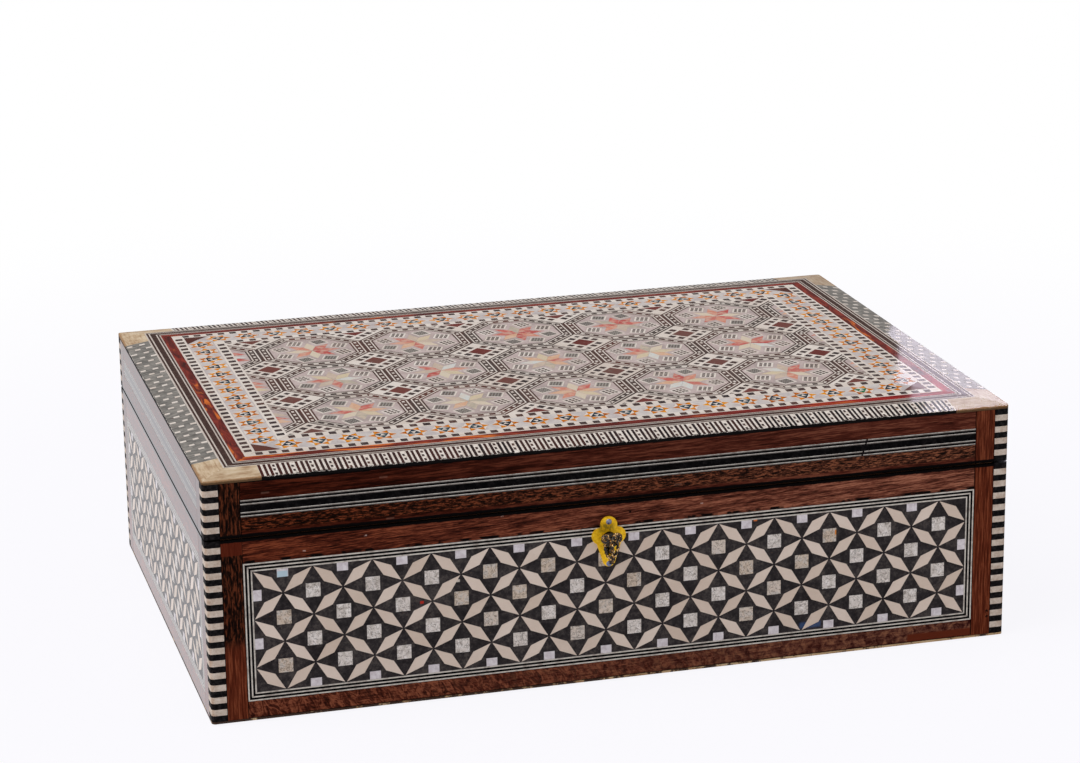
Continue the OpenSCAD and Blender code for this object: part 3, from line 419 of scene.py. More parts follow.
def line_bone(paint, pale, deep, on_lid=False):
    """Thin bone lines, worn grey here and there and dark at their edges; the lid's are cracked."""
    worn = paint.noise(2.5, 5, 0.7)
    surface = worn.ramp((0.36, deep), (0.56, pale))
    if on_lid:
        off, core = abs(abs(abs(paint.z - BAND_Z) - BAND_LINES[0]) - BAND_LINES[1]), 0.14
    else:
        out = abs(paint.along) - paint.each_wall(PANE_U)
        off = abs(out.most(PANE_Z0 - paint.z).most(paint.z - PANE_Z1) - PANE_LINES[0])
        off, core = off.least(abs(off - PANE_LINES[1])), 0.2
    edge = (off + worn * 0.1).step(core + 0.05, core + 0.15)
    surface = surface.tint(edge * 0.8, (54, 48, 46))
    if on_lid:
        slit = (paint.x - (paint.z - BAND_Z) * 0.316).near(93.4, 0.25) * (paint.y < FRONT_Y + 1)
        surface = surface.tint(slit, DARK_MARKS_AND_SHADE)
    paint.lacquer(surface, 0.45, worn, 0.75)


def corner_bone(paint):
    """Cream corner blocks, browned at their outer edges."""
    fibre = paint.noise(0.9, 4, 0.65, 0.4)
    value = fibre * 0.5 + paint.noise(3.5) * 0.5
    surface = value.shades(0.14, (172, 150, 134), (192, 176, 162), (208, 194, 182))
    corner = BOX_L / 2 + BOX_D / 2
    out = abs(paint.x) + abs(paint.y) + paint.noise(1.5, 4, 0.7) * 0.8
    surface = surface.tint(out.step(corner - 0.9, corner - 0.1) * 0.5, (150, 106, 70))
    # painted shade beside the seam
    paint.finish(shaded_at_seam(paint, surface), 0.4, fibre, 0.012, Specular_IOR_Level=0.04)


def corner_ebony(paint):
    """Dull black corner blocks."""
    mottle = paint.noise(1.2, 4, 0.7)
    wood = mottle.shades(0.12, (9, 8, 9), (18, 16, 17), (36, 33, 34))
    paint.finish(wood, 0.5, mottle, 0.012, Specular_IOR_Level=0.02)


def pane_pearl(paint):
    """Mother-of-pearl squares, speckled and cracked, some of them beige; lilac chips at the border."""
    each = cell_number(paint, 0.5)
    grit = paint.noise(1.1, 5, 0.78, 1.2)
    patch = paint.noise(2.1, 4, 0.65, 0.6)
    vein = paint.noise(2.6, 3, 0.6, 1.4).near(0.5, 0.012, 0.02)
    nacre = patch.shades(0.14, (190, 181, 173), (212, 203, 197), (228, 221, 217))
    nacre = nacre.tint(each.step(0.5, 0.75) * patch.step(0.36, 0.56) * 0.7, (190, 166, 140))
    dark = (grit + (patch - 0.5) * 0.5 + each * 0.06).step(0.6, 0.7)
    nacre = nacre.tint(dark.most(vein) * 0.66, (96, 86, 76))
    nacre = nacre.tint(paint.spot(83, 48, 1.2, 1.6), (206, 128, 52))
    border = (abs(paint.z - (PANE_Z0 + PANE_Z1) / 2) > 19.3).most(
        abs(paint.along) - paint.each_wall(PANE_U) > -3.35)
    nacre = nacre.tint(border, patch.shades(0.14, (190, 180, 184), (206, 198, 202), (218, 212, 214)))
    nacre = nacre.tint(paint.spot(-123, 53.4, 3.4, 3.4), (176, 196, 206))
    paint.lacquer(nacre, 0.35, grit, 0.6, 0.01)


def pane_ebony(paint):
    """The panes' dark ground, with brown flecks and stray crumbs of colour."""
    mottle = paint.noise(1.5, 5, 0.78)
    value = mottle * 0.65 + paint.noise(9) * 0.35
    wood = value.shades(0.11, (36, 33, 34), (50, 46, 47), (74, 68, 66))
    wood = wood.tint(paint.noise(0.8, 4, 0.7).step(0.64, 0.7) * 0.45, (104, 78, 56))
    for u, z, crumb in ((-73.3, 38, (170, 50, 40)), (-97.3, 25.8, (170, 50, 40)),
                        (51.5, 56, (200, 110, 60)), (-60, 44.7, (190, 180, 170))):
        wood = wood.tint(paint.spot(u, z, 1, 0.7), crumb)
    wood = wood.tint(paint.spot(73, 13, 7, 1.0, 1.2) * 0.3, (70, 110, 170))
    paint.lacquer(wood, 0.45, mottle, 0.55)


def lid_bone(paint, pale=(221, 211, 202), deep=(202, 188, 177)):
    """Bone of the lid's mosaic: pale, faintly pink, with hair lines."""
    fibre = paint.noise(0.8, 4, 0.65, 0.5)
    value = fibre * 0.5 + paint.noise(6) * 0.3 + paint.chip() * 0.2
    surface = value.ramp((0.36, deep), (0.6, pale))
    surface = surface.tint(paint.noise(1.1, 5, 0.75).step(0.64, 0.74) * 0.35, (160, 134, 116))
    paint.lid_lacquer(surface, 0.4, fibre)


def shell_ground(paint, pale, mid, deep):
    """Thin lilac-pink shell between the chips, clouded from grey to pink."""
    vein = paint.noise(0.9, 5, 0.7, 0.6)
    value = paint.noise(9, 3, 0.55, 0.8) * 0.6 + vein * 0.4
    paint.lid_lacquer(value.shades(0.12, deep, mid, pale), 0.35, vein)


def mosaic_chips(paint, row, mottle=0.3, smear=0.0, slant=0.0):
    """Chips that each take one shade from a row, further along it to the right if slant says so."""
    cloud = paint.noise(1.3, 4, 0.7)
    value = (paint.chip() * (0.75 - slant * 0.5) + (paint.noise(34, 2) - 0.5) * 0.9
             + (cloud - 0.5) * mottle + 0.12 + paint.x * (slant / 2 / BOX_L) + slant * 0.25)
    surface = value.ramp(*(((k + 0.5) / len(row), shade) for k, shade in enumerate(row)))
    if smear:
        surface = surface.tint(cloud.step(0.56, 0.7) * smear, (188, 176, 168))
    paint.lid_lacquer(surface, 0.4, cloud)


def petal_shell(paint):
    """Rosette petals: each of one colour, from coral through salmon and cream to pale grey."""
    kinds = ((180, 82, 77), (190, 108, 97), (202, 132, 112), (208, 164, 134), (208, 195, 174),
             (176, 166, 150), (204, 206, 202), (204, 188, 158), (192, 98, 90), (190, 172, 156))
    stops = ((k / len(kinds), kind) for k, kind in enumerate(kinds))
    surface = paint.chip().ramp(*stops, blend="CONSTANT")
    surface = surface.tint(paint.noise(2.6).step(0.4, 0.66) * 0.5, (212, 190, 170))
    vein = paint.noise(0.8, 5, 0.7, 0.9)
    surface = surface.tint(vein.step(0.52, 0.68) * 0.3, (132, 88, 72))
    paint.lid_lacquer(surface, 0.3, vein)


def amber_points(paint):
    """Orange star points, some yellower and some browned."""
    cloud = paint.noise(1.5, 4, 0.7)
    value = cloud * 0.6 + paint.noise(12) * 0.4
    paint.lid_lacquer(value.shades(0.1, (156, 76, 0), (200, 112, 0), (222, 146, 10)), 0.35, cloud)


def teal_hearts(paint):
    """Dark blue-green star hearts, and one that is green."""
    cloud = paint.noise(1.4, 4, 0.7)
    value = cloud * 0.5 + paint.noise(16, 2) * 0.5
    surface = value.shades(0.1, (22, 30, 40), (36, 52, 64), (56, 78, 84))
    green = paint.x.near(9 * STAR_PITCH[0], 4) * (paint.y < -60)
    paint.lid_lacquer(surface.tint(green, (24, 104, 66)), 0.35, cloud)


def tortoiseshell(paint):
    """Dark red-brown shell with orange flames, most of them at the front left."""
    cloud = paint.noise(3.6, 4, 0.6, 1.2, paint.lid_run(0.22))
    flame = paint.noise(3.4, 3, 0.55, 1.2, paint.lid_run(0.13))
    shell = cloud.shades(0.14, (64, 18, 14), (104, 32, 24), (140, 50, 36))
    clear = paint.x.step(30, 100) * (paint.y < -60)
    shell = shell.tint(clear, cloud.shades(0.14, (104, 14, 14), (140, 22, 18), (164, 34, 26)))
    rich = (0 - paint.x).step(10, 60) * (0 - paint.y).step(60, 84)
    shell = shell.tint((flame + rich * 0.12).step(0.6, 0.72) * 0.9, (216, 112, 40))
    paint.lid_lacquer(shell, 0.3, cloud)


def horn(paint):
    """Cream horn plates, fibrous along each leg and honey-brown at their cut edges."""
    fibre = paint.noise(1.1, 5, 0.65, 1.0, paint.lid_run(0.12))
    value = fibre * 0.5 + paint.noise(6, 4, 0.6) * 0.5
    plate = value.shades(0.13, (160, 128, 98), (196, 172, 142), (214, 196, 170))
    plate = plate.tint(paint.x.step(0, 100) * 0.3, (128, 112, 110))
    chipped = paint.noise(1.3, 5, 0.75)
    inset = (BOX_L / 2 - abs(paint.x)).least(BOX_D / 2 - abs(paint.y))
    edge = 1 - (inset + (chipped - 0.5) * 1.6).step(0.2, 1.0)
    low = 1 - (paint.z + chipped).step(90.2, 90.8)
    plate = plate.tint(edge * 0.7, (142, 96, 50)).tint(low * 0.8, (60, 42, 26))
    paint.lid_lacquer(plate, 0.34, fibre, 0.02)


def edge_strip(paint):
    """White strip round the lid's top, chipped and dark along its cut edge."""
    fibre = paint.noise(0.9, 4, 0.65)
    surface = fibre.shades(0.13, (196, 182, 170), (219, 209, 199), (232, 224, 216))
    dark = 1 - (paint.z + (paint.noise(1.6, 5, 0.75) - 0.5) * 1.6).step(90.3, 90.55)
    paint.lid_lacquer(surface.tint(dark, DARK_MARKS_AND_SHADE), 0.4, fibre)


def thread_strip(paint):
    """Grey strip of fine dark and light threads that run across it."""
    fine = paint.strands(paint.at, 0.7, 5, 3, 0.6, 0.1)
    value = fine * 0.7 + paint.noise(7) * 0.3
    surface = value.shades(0.12, (92, 89, 85), (124, 120, 115), (152, 146, 139))
    rust = paint.strands(paint.at, 0.7, 7, 2).step(0.66, 0.72)
    paint.lid_lacquer(surface.tint(rust * 0.5, (110, 62, 44)), 0.4, fine)


def boards(paint):
    """Carcass timber: plain, straight-grained and dark."""
    at = paint.grain()
    fibre = paint.strands(at, 0.5, 10)
    value = paint.strands(at, 2.4, 38) * 0.6 + fibre * 0.4
    wood = value.shades(0.12, (58, 34, 22), (88, 56, 36), (118, 78, 50))
    wood = wood.tint(fibre.step(0.56, 0.66) * 0.4, (40, 24, 16))
    paint.finish(wood, 0.6, fibre, 0.05, Specular_IOR_Level=0.2)


def lip_wood(paint):
    """Softwood floor board, whose bare lip is rubbed and grimy."""
    fibre = paint.strands(paint.grain(), 0.6, 11)
    pale = fibre.shades(0.12, (150, 116, 80), (182, 150, 112), (204, 178, 142))
    bare = (paint.noise(6, 5, 0.7) + paint.x.step(-150, 150) * 0.14).step(0.54, 0.64)
    outside = (abs(paint.x) > BOX_L / 2 - 2).most(abs(paint.y) > BOX_D / 2 - 2)
    wood = pale.tint(outside, paint.mix(bare, (52, 34, 24), pale))
    paint.finish(wood, 0.7, fibre, 0.06, Specular_IOR_Level=0.2)


def pile(paint, deep, light, tuft=0.55, sheen=0.6):
    """Short pile that catches light where it is brushed one way."""
    nap = paint.noise(tuft, 3, 0.7)
    cloth = (paint.noise(18, 4, 0.6, 0.8) * 0.6 + nap * 0.4).ramp((0.4, deep), (0.6, light))
    paint.finish(cloth, 0.9, nap, 0.35 * sheen / 0.6, Sheen_Weight=sheen, Sheen_Roughness=0.4,
                 Sheen_Tint=linear(light), Specular_IOR_Level=0.1)


def metal(paint, deep, light, rough, tarnish=(60, 45, 25), stained=0.4, scale=3.0):
    """Drawn or cast metal with fine scratches and tarnish in its hollows."""
    brushed = paint.strands(paint.at, 0.25, 2, 3)
    surface = (paint.noise(scale, 5, 0.65) * 0.7 + brushed * 0.3).ramp((0.36, deep), (0.62, light))
    spot = paint.noise(scale * 0.5, 5, 0.7).step(0.5, 0.66)
    paint.finish(surface.tint(spot * stained, tarnish), rough + 0.25 * spot, brushed - spot * 0.5,
                 0.02, metal=1 - 0.5 * spot)


def cast_brass(paint):
    """Cast brass gone almost black, rubbed gold in spots, with painted highlights; its collar is painted
    near-black as the keyhole's shade.
    """
    cloud = paint.noise(0.9, 4, 0.6, 0.8)
    rubbed = cloud.step(0.51, 0.62)
    surface = paint.mix(rubbed, (28, 20, 14), (190, 140, 72))
    # painted highlight: near-white gold on the cloud's peaks
    surface = surface.tint(cloud.step(0.6, 0.66), (250, 220, 168))
    # painted shade: the collar is near-black, standing in for the dark keyhole round it
    shaded_collar = paint.y.step(-107.2, -106.6)
    paint.finish(surface.tint(shaded_collar, (26, 21, 18)), 0.22 + 0.2 * shaded_collar, cloud, 0.08,
                 metal=rubbed * (1 - shaded_collar), Specular_IOR_Level=0.3)


def escutcheon_brass(paint):
    """Yellow sheet brass, smudged olive round the upper nail and the keyhole."""
    cloud = paint.noise(1.2, 5, 0.7)
    sheet = cloud.shades(0.16, (216, 160, 12), (242, 188, 18), (252, 210, 48))
    smudge = paint.z.near(59.2, 0.9, 1.4) * paint.x.near(LOCK_X - 1, 1.6, 2.4)
    sheet = sheet.tint(smudge * cloud.step(0.38, 0.55) * 0.8, (110, 88, 16))
    paint.finish(sheet, 0.4, cloud, 0.04, metal=0.15, Specular_IOR_Level=0.2)


# Each finish: its paint, its name, the nodes that wear it, and the paint's own values
LOOKS = (
    (boards, "boards", ""),
    (lip_wood, "lip_wood", "base_floor"),
    (base_rails, "base_rails", "base_rails"),
    (stile_wood, "base_stiles", "base_stiles", 26, (64, 25, 15), (88, 38, 23), (120, 62, 40)),
    (lid_rails, "lid_rails", "lid_rails"),
    (stile_wood, "lid_stiles", "lid_stiles", 20, (60, 24, 15), (86, 38, 24), (122, 64, 42)),
    (ebony, "line_ebony", "base_string_ebony lid_string_ebony", (7, 7, 8), (12, 11, 12), (28, 26, 27)),
    (ebony, "lid_ebony", "top_string_ebony", (48, 30, 24), (62, 40, 34), (84, 62, 54), True),
    (pane_ebony, "pane_ebony", "base_front_field base_back_field base_side_fields"),
    (lozenge_bone, "lozenge_bone", "base_lozenges"),
    (line_bone, "base_lines", "base_string_bone", (204, 197, 188), (156, 146, 138)),
    (line_bone, "lid_lines", "lid_string_bone", (206, 200, 192), (156, 146, 138), True),
    (corner_bone, "corner_bone", "base_corner_bone lid_corner_bone"),
    (corner_ebony, "corner_ebony", "base_corner_ebony lid_corner_ebony"),
    (pane_pearl, "pearl", "base_pearls"),
    (lid_bone, "lid_bone", "top_dash_borders top_star_centres field_squares field_diamonds"),
    (lid_bone, "lid_lines_bone", "top_string_bone", (204, 193, 184), (182, 168, 158)),
    (edge_strip, "edge_strip", "top_edge_strips"),
    (horn, "horn", "top_corner_plates"),
    (tortoiseshell, "tortoiseshell", "top_tortoiseshell"),
    (shell_ground, "star_ground", "top_star_ground", (207, 199, 194), (193, 184, 181), (177, 166, 165)),
    (shell_ground, "field_ground", "field_ground", (198, 182, 178), (184, 166, 162), (162, 148, 144)),
    (amber_points, "amber", "top_star_points"),
    (teal_hearts, "teal", "top_star_hearts"),
    (petal_shell, "petals", "field_petals"),
    (mosaic_chips, "corner_shell", "top_star_corners", ((78, 36, 28), (92, 52, 42))),
    (mosaic_chips, "dark_chips", "", ((54, 44, 44), (74, 54, 50), (60, 50, 50), (88, 60, 52)), 0.3, 0.3),
    (mosaic_chips, "bar_chips", "", ((70, 34, 28), (62, 40, 36), (40, 32, 32), (28, 25, 27)), 0.3, 0, 0.9),
    (mosaic_chips, "ring_chips", "field_rings",
     ((72, 62, 58), (84, 58, 52), (78, 68, 64), (92, 54, 46)), 0.15),
    (mosaic_chips, "check_chips", "", ((152, 146, 138), (136, 130, 124))),
    (thread_strip, "threads", ""),
    (mosaic_chips, "heart_chips", "",
     ((96, 38, 32), (112, 48, 42), (104, 72, 64), (110, 50, 42)), 0.3, 0.12),
    (pile, "velvet", "base_lining lid_lining", (84, 8, 20), (132, 22, 38)),
    (pile, "felt", "foot_felt", (20, 44, 30), (38, 70, 48), 1.1, 0.1),
    (escutcheon_brass, "yellow_brass", "escutcheon"),
    (metal, "brass", "lock_case lock_cap hinge_base_leaves hinge_lid_leaves lid_strike",
     (176, 138, 66), (212, 176, 96), 0.28),
    (cast_brass, "antique_brass", "key"),
    (metal, "nail_steel", "escutcheon_nails", (96, 100, 124), (132, 136, 158), 0.4, (70, 66, 70), 0.5, 1.2),
    (metal, "steel", "lock_bolt lock_pin hinge_pins base_screws lid_screws",
     (120, 122, 130), (172, 174, 180), 0.35, (84, 76, 72), 0.3, 1.5),
)
FINISH = {}


def finish_all():
    """Mixes every finish and dresses the nodes. Those that no finish names are carcass boards."""
    worn = {}
    for paint_on, name, nodes, *values in LOOKS:
        FINISH[name] = bpy.data.materials.new(name)
        paint_on(Paint(FINISH[name]), *values)
        worn.update(dict.fromkeys(nodes.split(), name))
    for name, node in frame["nodes"].items():
        node.data.materials.clear()
        node.data.materials.append(FINISH[worn.get(name, "boards")])


# ---- Making inlay ----

CORNERS = (-1, -1), (1, -1), (1, 1), (-1, 1)


def crown(x, y):
    """Height of the mosaic: the outer strip slopes most, the bands a little, the field is flat."""
    d = min(BOX_L / 2 - abs(x), BOX_D / 2 - abs(y))
    if d < EDGE_W:
        return EDGE_Z + (CROWN_Z - EDGE_Z) * d / EDGE_W
    return min(FIELD_Z, CROWN_Z + (FIELD_Z - CROWN_Z) * (d - EDGE_W) / (FIELD_IN - EDGE_W))


def turned(x, y, angle):
    return x * cos(angle) - y * sin(angle), x * sin(angle) + y * cos(angle)


def shaken(amount):
    return random.uniform(-amount, amount)


def placed(name, made, finish, body, instead_of=None):
    """Ends a mesh as a piece with its finish, on its body, perhaps instead of a node."""
    bmesh.ops.recalc_face_normals(made, faces=made.faces)
    mesh = bpy.data.meshes.new(name)
    made.to_mesh(mesh)
    made.free()
    mesh.materials.append(FINISH[finish])
    piece = linked(name, mesh)
    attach(piece, body)
    if instead_of:
        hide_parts(instead_of)
    return mesh


def inlay(name, outlines, finish, proud=0.02, instead_of=None):
    """One piece of many flat chips, each given by its outline, let in at the lid's surface."""
    made = bmesh.new()
    deep = CHIP_DEEP if instead_of else SKIN_DEEP
    for outline in outlines:
        top, low = ([made.verts.new(Vector((x, y, crown(x, y) + rise)) * MM) for x, y in outline]
                    for rise in (proud, -deep))
        made.faces.new(top)
        made.faces.new(low[::-1])
        for k in range(len(outline)):
            made.faces.new((top[k - 1], low[k - 1], low[k], top[k]))
    placed(name, made, finish, "lid", instead_of)


def block(x, y, wide, high, angle=0.0):
    """The outline of a small block about (x, y), turned by angle."""
    corners = [turned(sx * wide / 2, sy * high / 2, angle) for sx, sy in CORNERS]
    return [(x + dx, y + dy) for dx, dy in corners]


def fan(x, y, points, angle=0.0):
    """An outline about (x, y) from (radius, degrees) pairs."""
    corners = [turned(r, 0, angle + radians(a)) for r, a in points]
    return [(x + dx, y + dy) for dx, dy in corners]


def clipped(outlines):
    """What the field's frame leaves of the outlines."""
    halves = FIELD_L / 2 - FRAME_GAP, FIELD_W / 2 - FRAME_GAP
    kept = []
    for outline in outlines:
        for axis, sign in ((0, 1), (0, -1), (1, 1), (1, -1)):
            cut, limit = [], halves[axis]
            for k, here in enumerate(outline):
                back = outline[k - 1]
                inside, was = here[axis] * sign <= limit, back[axis] * sign <= limit
                if inside != was:
                    t = (limit * sign - back[axis]) / (here[axis] - back[axis])
                    cut.append(tuple(back[m] + t * (here[m] - back[m]) for m in (0, 1)))
                if inside:
                    cut.append(here)
            outline = cut
        if len(outline) > 2:
            kept.append(outline)
    return kept


def strip_length(side):
    """The lid's length along its side 0 to 3: front, right, back, left."""
    return (BOX_L, BOX_D)[side % 2]


def along_strip(side, d, u):
    """A place on the lid: d from the outer edge of one side, u along it."""
    return turned(u, d - strip_length(side + 1) / 2, side * pi / 2)


# ---- Mosaic of the lid ----

BAR_W, BAR_PITCH, COLUMN_W, DOT_W = 1.0, 1.8, 2.05, (0.9, 1.7)
SIDE_PITCH, DASH = 6, (1.7, 2.1)  # the side strips' rows, and the size of their dashes
RING_LINES, RING_LINE_W, LADDER = (0.72, 3.62), 0.52, 2.43  # out from a ring's inner edge
CHECK_W, FINE_SHARE, HEART_HALF, BARE_SHARE = 4.8, 0.36, 4.9, 0.35
BORDER_DASH, BORDERS = (2.6, 2.75), ((DASH_IN, 4.75), (DASH2_IN, 4.95))  # distance in and pitch


def edge_bars():
    """Front and back strip: three dark bars, then a white column with staggered dots, and so on."""
    bars, dots = [], []
    for side in (0, 2):
        run, turn = BOX_L - 2 * PLATE_LEG, side * pi / 2
        count = round(run / (2 * BAR_PITCH + BAR_W + COLUMN_W))
        period = run / count
        for k in range(count):
            start = k * period - run / 2
            for m in range(3):
                u = start + BAR_W / 2 + 0.1 + m * BAR_PITCH + shaken(0.08)
                x, y = along_strip(side, EDGE_W / 2 + 0.02, u)
                bars.append(block(x, y, BAR_W + shaken(0.08), EDGE_W - 0.22, turn))
            u = start + period - COLUMN_W / 2
            for d in ((1.5, 4.6, 7.7), (3.0, 6.2))[k % 2]:
                x, y = along_strip(side, d + shaken(0.15), u + shaken(0.1))
                dots.append(block(x, y, DOT_W[0], DOT_W[1] + shaken(0.15), turn))
    inlay("edge_bars", bars, "bar_chips")
    inlay("edge_dots", dots, "dark_chips")


def side_threads():
    """Side strips: fine grey threads across, and rows of staggered white dashes."""
    threads, dashes = [], []
    for side in (1, 3):
        run, turn = BOX_D - 2 * PLATE_LEG, side * pi / 2
        count = round(run / SIDE_PITCH)
        for k in range(count):
            u = (k + 0.5) * run / count - run / 2
            x, y = along_strip(side, EDGE_W / 2, u)
            threads.append(block(x, y, run / count - 0.06, EDGE_W - 0.2, turn))
            for d in ((1.4, 6.1), (3.7, 8.1))[k % 2]:
                x, y = along_strip(side, d + shaken(0.12), u + shaken(0.12))
                dashes.append(block(x, y, DASH[0], DASH[1] + shaken(0.2), turn))
    inlay("side_threads", threads, "threads")
    inlay("side_dashes", dashes, "lid_bone", 0.04)


def border_dashes():
    """Dark squares along the white borders on both sides of the star band."""
    dashes = []
    for d, pitch in BORDERS:
        mid = d + DASH_W / 2
        for side in range(4):
            count = int((strip_length(side) - 2 * mid - pitch) / pitch) + 1
            for k in range(count):
                u = (k - (count - 1) / 2) * pitch + shaken(0.12)
                x, y = along_strip(side, mid + shaken(0.08), u)
                wide, high = (size + shaken(0.12) for size in BORDER_DASH)
                dashes.append(block(x, y, wide, high, side * pi / 2))
    inlay("border_dashes", dashes, "dark_chips")


def star_places():
    """Each star's middle, its strip's angle, and 1 or -1 for the way that its heart points."""
    for side in range(4):
        pitch = STAR_PITCH[side % 2]
        count = int((strip_length(side) - 2 * STAR_IN - STAR_BAND - 2 * CHIP_GAP) / pitch)
        for k in range(count):
            x, y = along_strip(side, STAR_IN + STAR_BAND / 2, (k - (count - 1) / 2) * pitch)
            yield x, y, side * pi / 2, 1 if k % 2 == 0 else -1


def star_details():
    """Stars: six orange points, white between them, and a dark heart with a white seed in it."""
    points, slivers, hearts, seeds = [], [], [], []
    for x, y, angle, up in star_places():
        for k in range(6):
            tip = (STAR_R, 0), (NOTCH_R, -30), (NOTCH_R, 30)
            points.append(fan(x, y, [(r - 0.03, a + 60 * k) for r, a in tip], angle))
            filled = 4.8 if k % 3 == 1 else 4.2
            notch = (NOTCH_R + 0.1, 30), (5.0, 4), (filled, 30), (5.0, 56)
            slivers.append(fan(x, y, [(r, a + 60 * k) for r, a in notch], angle))
        hearts.append(fan(x, y, [(HEART_R, a * 120 + 90 * up) for a in range(3)], angle))
        seeds.append(fan(x, y, [(SEED_R, a * 120 - 90 * up) for a in range(3)], angle))
    inlay("star_tips", points, "amber", instead_of="top_star_points")
    inlay("star_slivers", slivers, "lid_bone")
    inlay("star_hearts", hearts, "teal", instead_of="top_star_hearts")
    inlay("star_seeds", seeds, "lid_bone", 0.04)


def octagons(last):
    """Columns and rows of the field's octagons. The frame cuts those of column 3 on both sides."""
    return [(column, row) for column in range(-last, last + 1) for row in (-1, 0, 1)]


def on_tile(place, outline):
    """Moves an outline, drawn about a tile's middle, to its column and row in the field."""
    column, row = place
    return [(SHIFT + (column * TILE + x) * SQUEEZE, row * TILE + y) for x, y in outline]


def ring_side(k, inner, outer):
    """One side of an octagon's ring between two distances from its centre."""
    a, b = inner * tan(pi / 8) - CHIP_GAP / 2, outer * tan(pi / 8) - CHIP_GAP / 2
    return [turned(*corner, k * pi / 4) for corner in
            ((inner, -a), (outer, -b), (outer, b), (inner, a))]


def octagon_rings():
    """Each ring: dark, a white line, a dark ladder with white rungs, a white line, dark."""
    inner, outer = RING_IN / 2, TILE / 2 - CHIP_GAP / 2
    grounds, lines, rungs = [], [], []
    for place in octagons(3):
        for k in range(8):
            grounds.append(on_tile(place, ring_side(k, inner, outer)))
            for low in RING_LINES:
                lines.append(on_tile(place, ring_side(k, inner + low, inner + low + RING_LINE_W)))
            wide, size, pitch = (1.5, 2.1, 4.4) if k % 4 == 2 else (1.0, 1.6, 4.1)
            for m in range(4):
                x, y = turned(inner + LADDER, (m - 1.5) * pitch + shaken(0.15), k * pi / 4)
                rungs.append(on_tile(place, block(x, y, wide, size + shaken(0.15), k * pi / 4)))
    inlay("octagon_rings", clipped(grounds), "ring_chips", -0.03, "field_rings")
    inlay("ring_lines", clipped(lines), "lid_bone", 0)
    inlay("ring_rungs", clipped(rungs), "lid_bone", 0)


def chequered_squares():
    """Bone squares round each rosette: most have nine dark dots, some a fine grey check."""
    grounds, dots, checks, seeds = [], [], [], []
    for place in octagons(2):
        for k in range(8):
            angle = k * pi / 4 + pi / 8
            cx, cy = turned(SQUARE_R, 0, angle)
            turn = angle + pi / 4
            grounds.append(on_tile(place, block(cx, cy, SQUARE_W, SQUARE_W, turn)))
            fine = random.random() < FINE_SHARE
            if fine:
                checks.append(on_tile(place, block(cx, cy, CHECK_W, CHECK_W, turn)))
            count, pitch, size, chips = (4, 1.15, 0.62, seeds) if fine else (3, 1.72, 1.15, dots)
            for i in range(count):
                for j in range(count):
                    u, v = turned(*(((m - (count - 1) / 2) * pitch) for m in (i, j)), turn)
                    chip = block(cx + u, cy + v, size, size + shaken(0.1), turn)
                    chips.append(on_tile(place, chip))
    inlay("chequered_squares", grounds, "lid_bone", -0.03, "field_squares")
    inlay("square_dots", dots, "dark_chips", 0)
    inlay("square_checks", checks, "check_chips", 0)
    inlay("check_seeds", seeds, "dark_chips")


def rosettes():
    """Eight kite-shaped petals in each octagon, and the tips of petals in the cut ones."""
    long, wide = turned(PETAL_SIDE, 0, pi / 8)
    kite = (0, 0), (long, -wide), (2 * long, 0), (long, wide)
    petals = [on_tile(place, [turned(x + 0.13, y, k * pi / 4) for x, y in kite])
              for place in octagons(2) for k in range(8)]
    inlay("rosette_petals", petals, "petals", -0.03, "field_petals")
    tips = []
    for column, facing in ((-3, 1), (3, -1)):
        for row in (-1, 0, 1):
            for low, high in ((-6.2, -2.2), (-2.0, 2.0), (2.2, 6.2)):
                reach = 11.0 if low < 0 < high else 12.4
                outline = [(facing * 8, low), (facing * (RING_IN / 2 - 0.2), low),
                           (facing * reach, high), (facing * 8, high)]
                tips.append(on_tile((column, row), outline))
    inlay("cut_rosettes", clipped(tips), "petals")


def diamonds():
    """White diamonds between the octagons: twelve dark squares round a red-brown heart."""
    half = TILE * tan(pi / 8) / sqrt(2) - CHIP_GAP
    grounds, dots, hearts = [], [], []
    corners = 0, 90, 180, 270
    for place in ((column + 0.5, row - 1.5) for column in range(-3, 3) for row in range(4)):
        grounds.append(on_tile(place, fan(0, 0, [(half, a) for a in corners])))
        hearts.append(on_tile(place, fan(0, 0, [(HEART_HALF + shaken(0.15), a) for a in corners])))
        for k in range(4):
            for m in range(3):
                if m == 0 and random.random() < BARE_SHARE:
                    continue
                x, y = turned((m - 1) * 4.05 - 2.03, 6.05, k * pi / 2 + pi / 4)
                size = (1.9 if m == 0 else 2.6) + shaken(0.15)
                dots.append(on_tile(place, block(x, y, size, size, pi / 4)))
    inlay("diamonds", clipped(grounds), "lid_bone", -0.03, "field_diamonds")
    inlay("diamond_dots", clipped(dots), "dark_chips", 0)
    inlay("diamond_hearts", clipped(hearts), "heart_chips", 0)


# ---- Key ----

KEY_INNER_Y, BIT_REACH, BIT_T, BIT_W, SHANK_R = -93.4, 6, 1.2, 3, 1.4
HANG_X, HANG_Y = -5.1, -108  # the middle of the drop and how far out it hangs
STEPS = 26


def lathe(made, profile, sides=28):
    """Adds a turned solid on the keyhole's axis from (radius, y) pairs that start and end on it."""
    rings = []
    for r, y in profile:
        count = sides if r else 1
        rings.append([made.verts.new(Vector((LOCK_X + r * cos(2 * pi * k / count), y,
                                             KEY_Z + r * sin(2 * pi * k / count))) * MM)
                      for k in range(count)])
    for a, b in zip(rings, rings[1:]):
        for k in range(sides):
            corners = [a[k % len(a)], a[(k + 1) % len(a)], b[(k + 1) % len(b)], b[k % len(b)]]
            made.faces.new(list(dict.fromkeys(corners)))


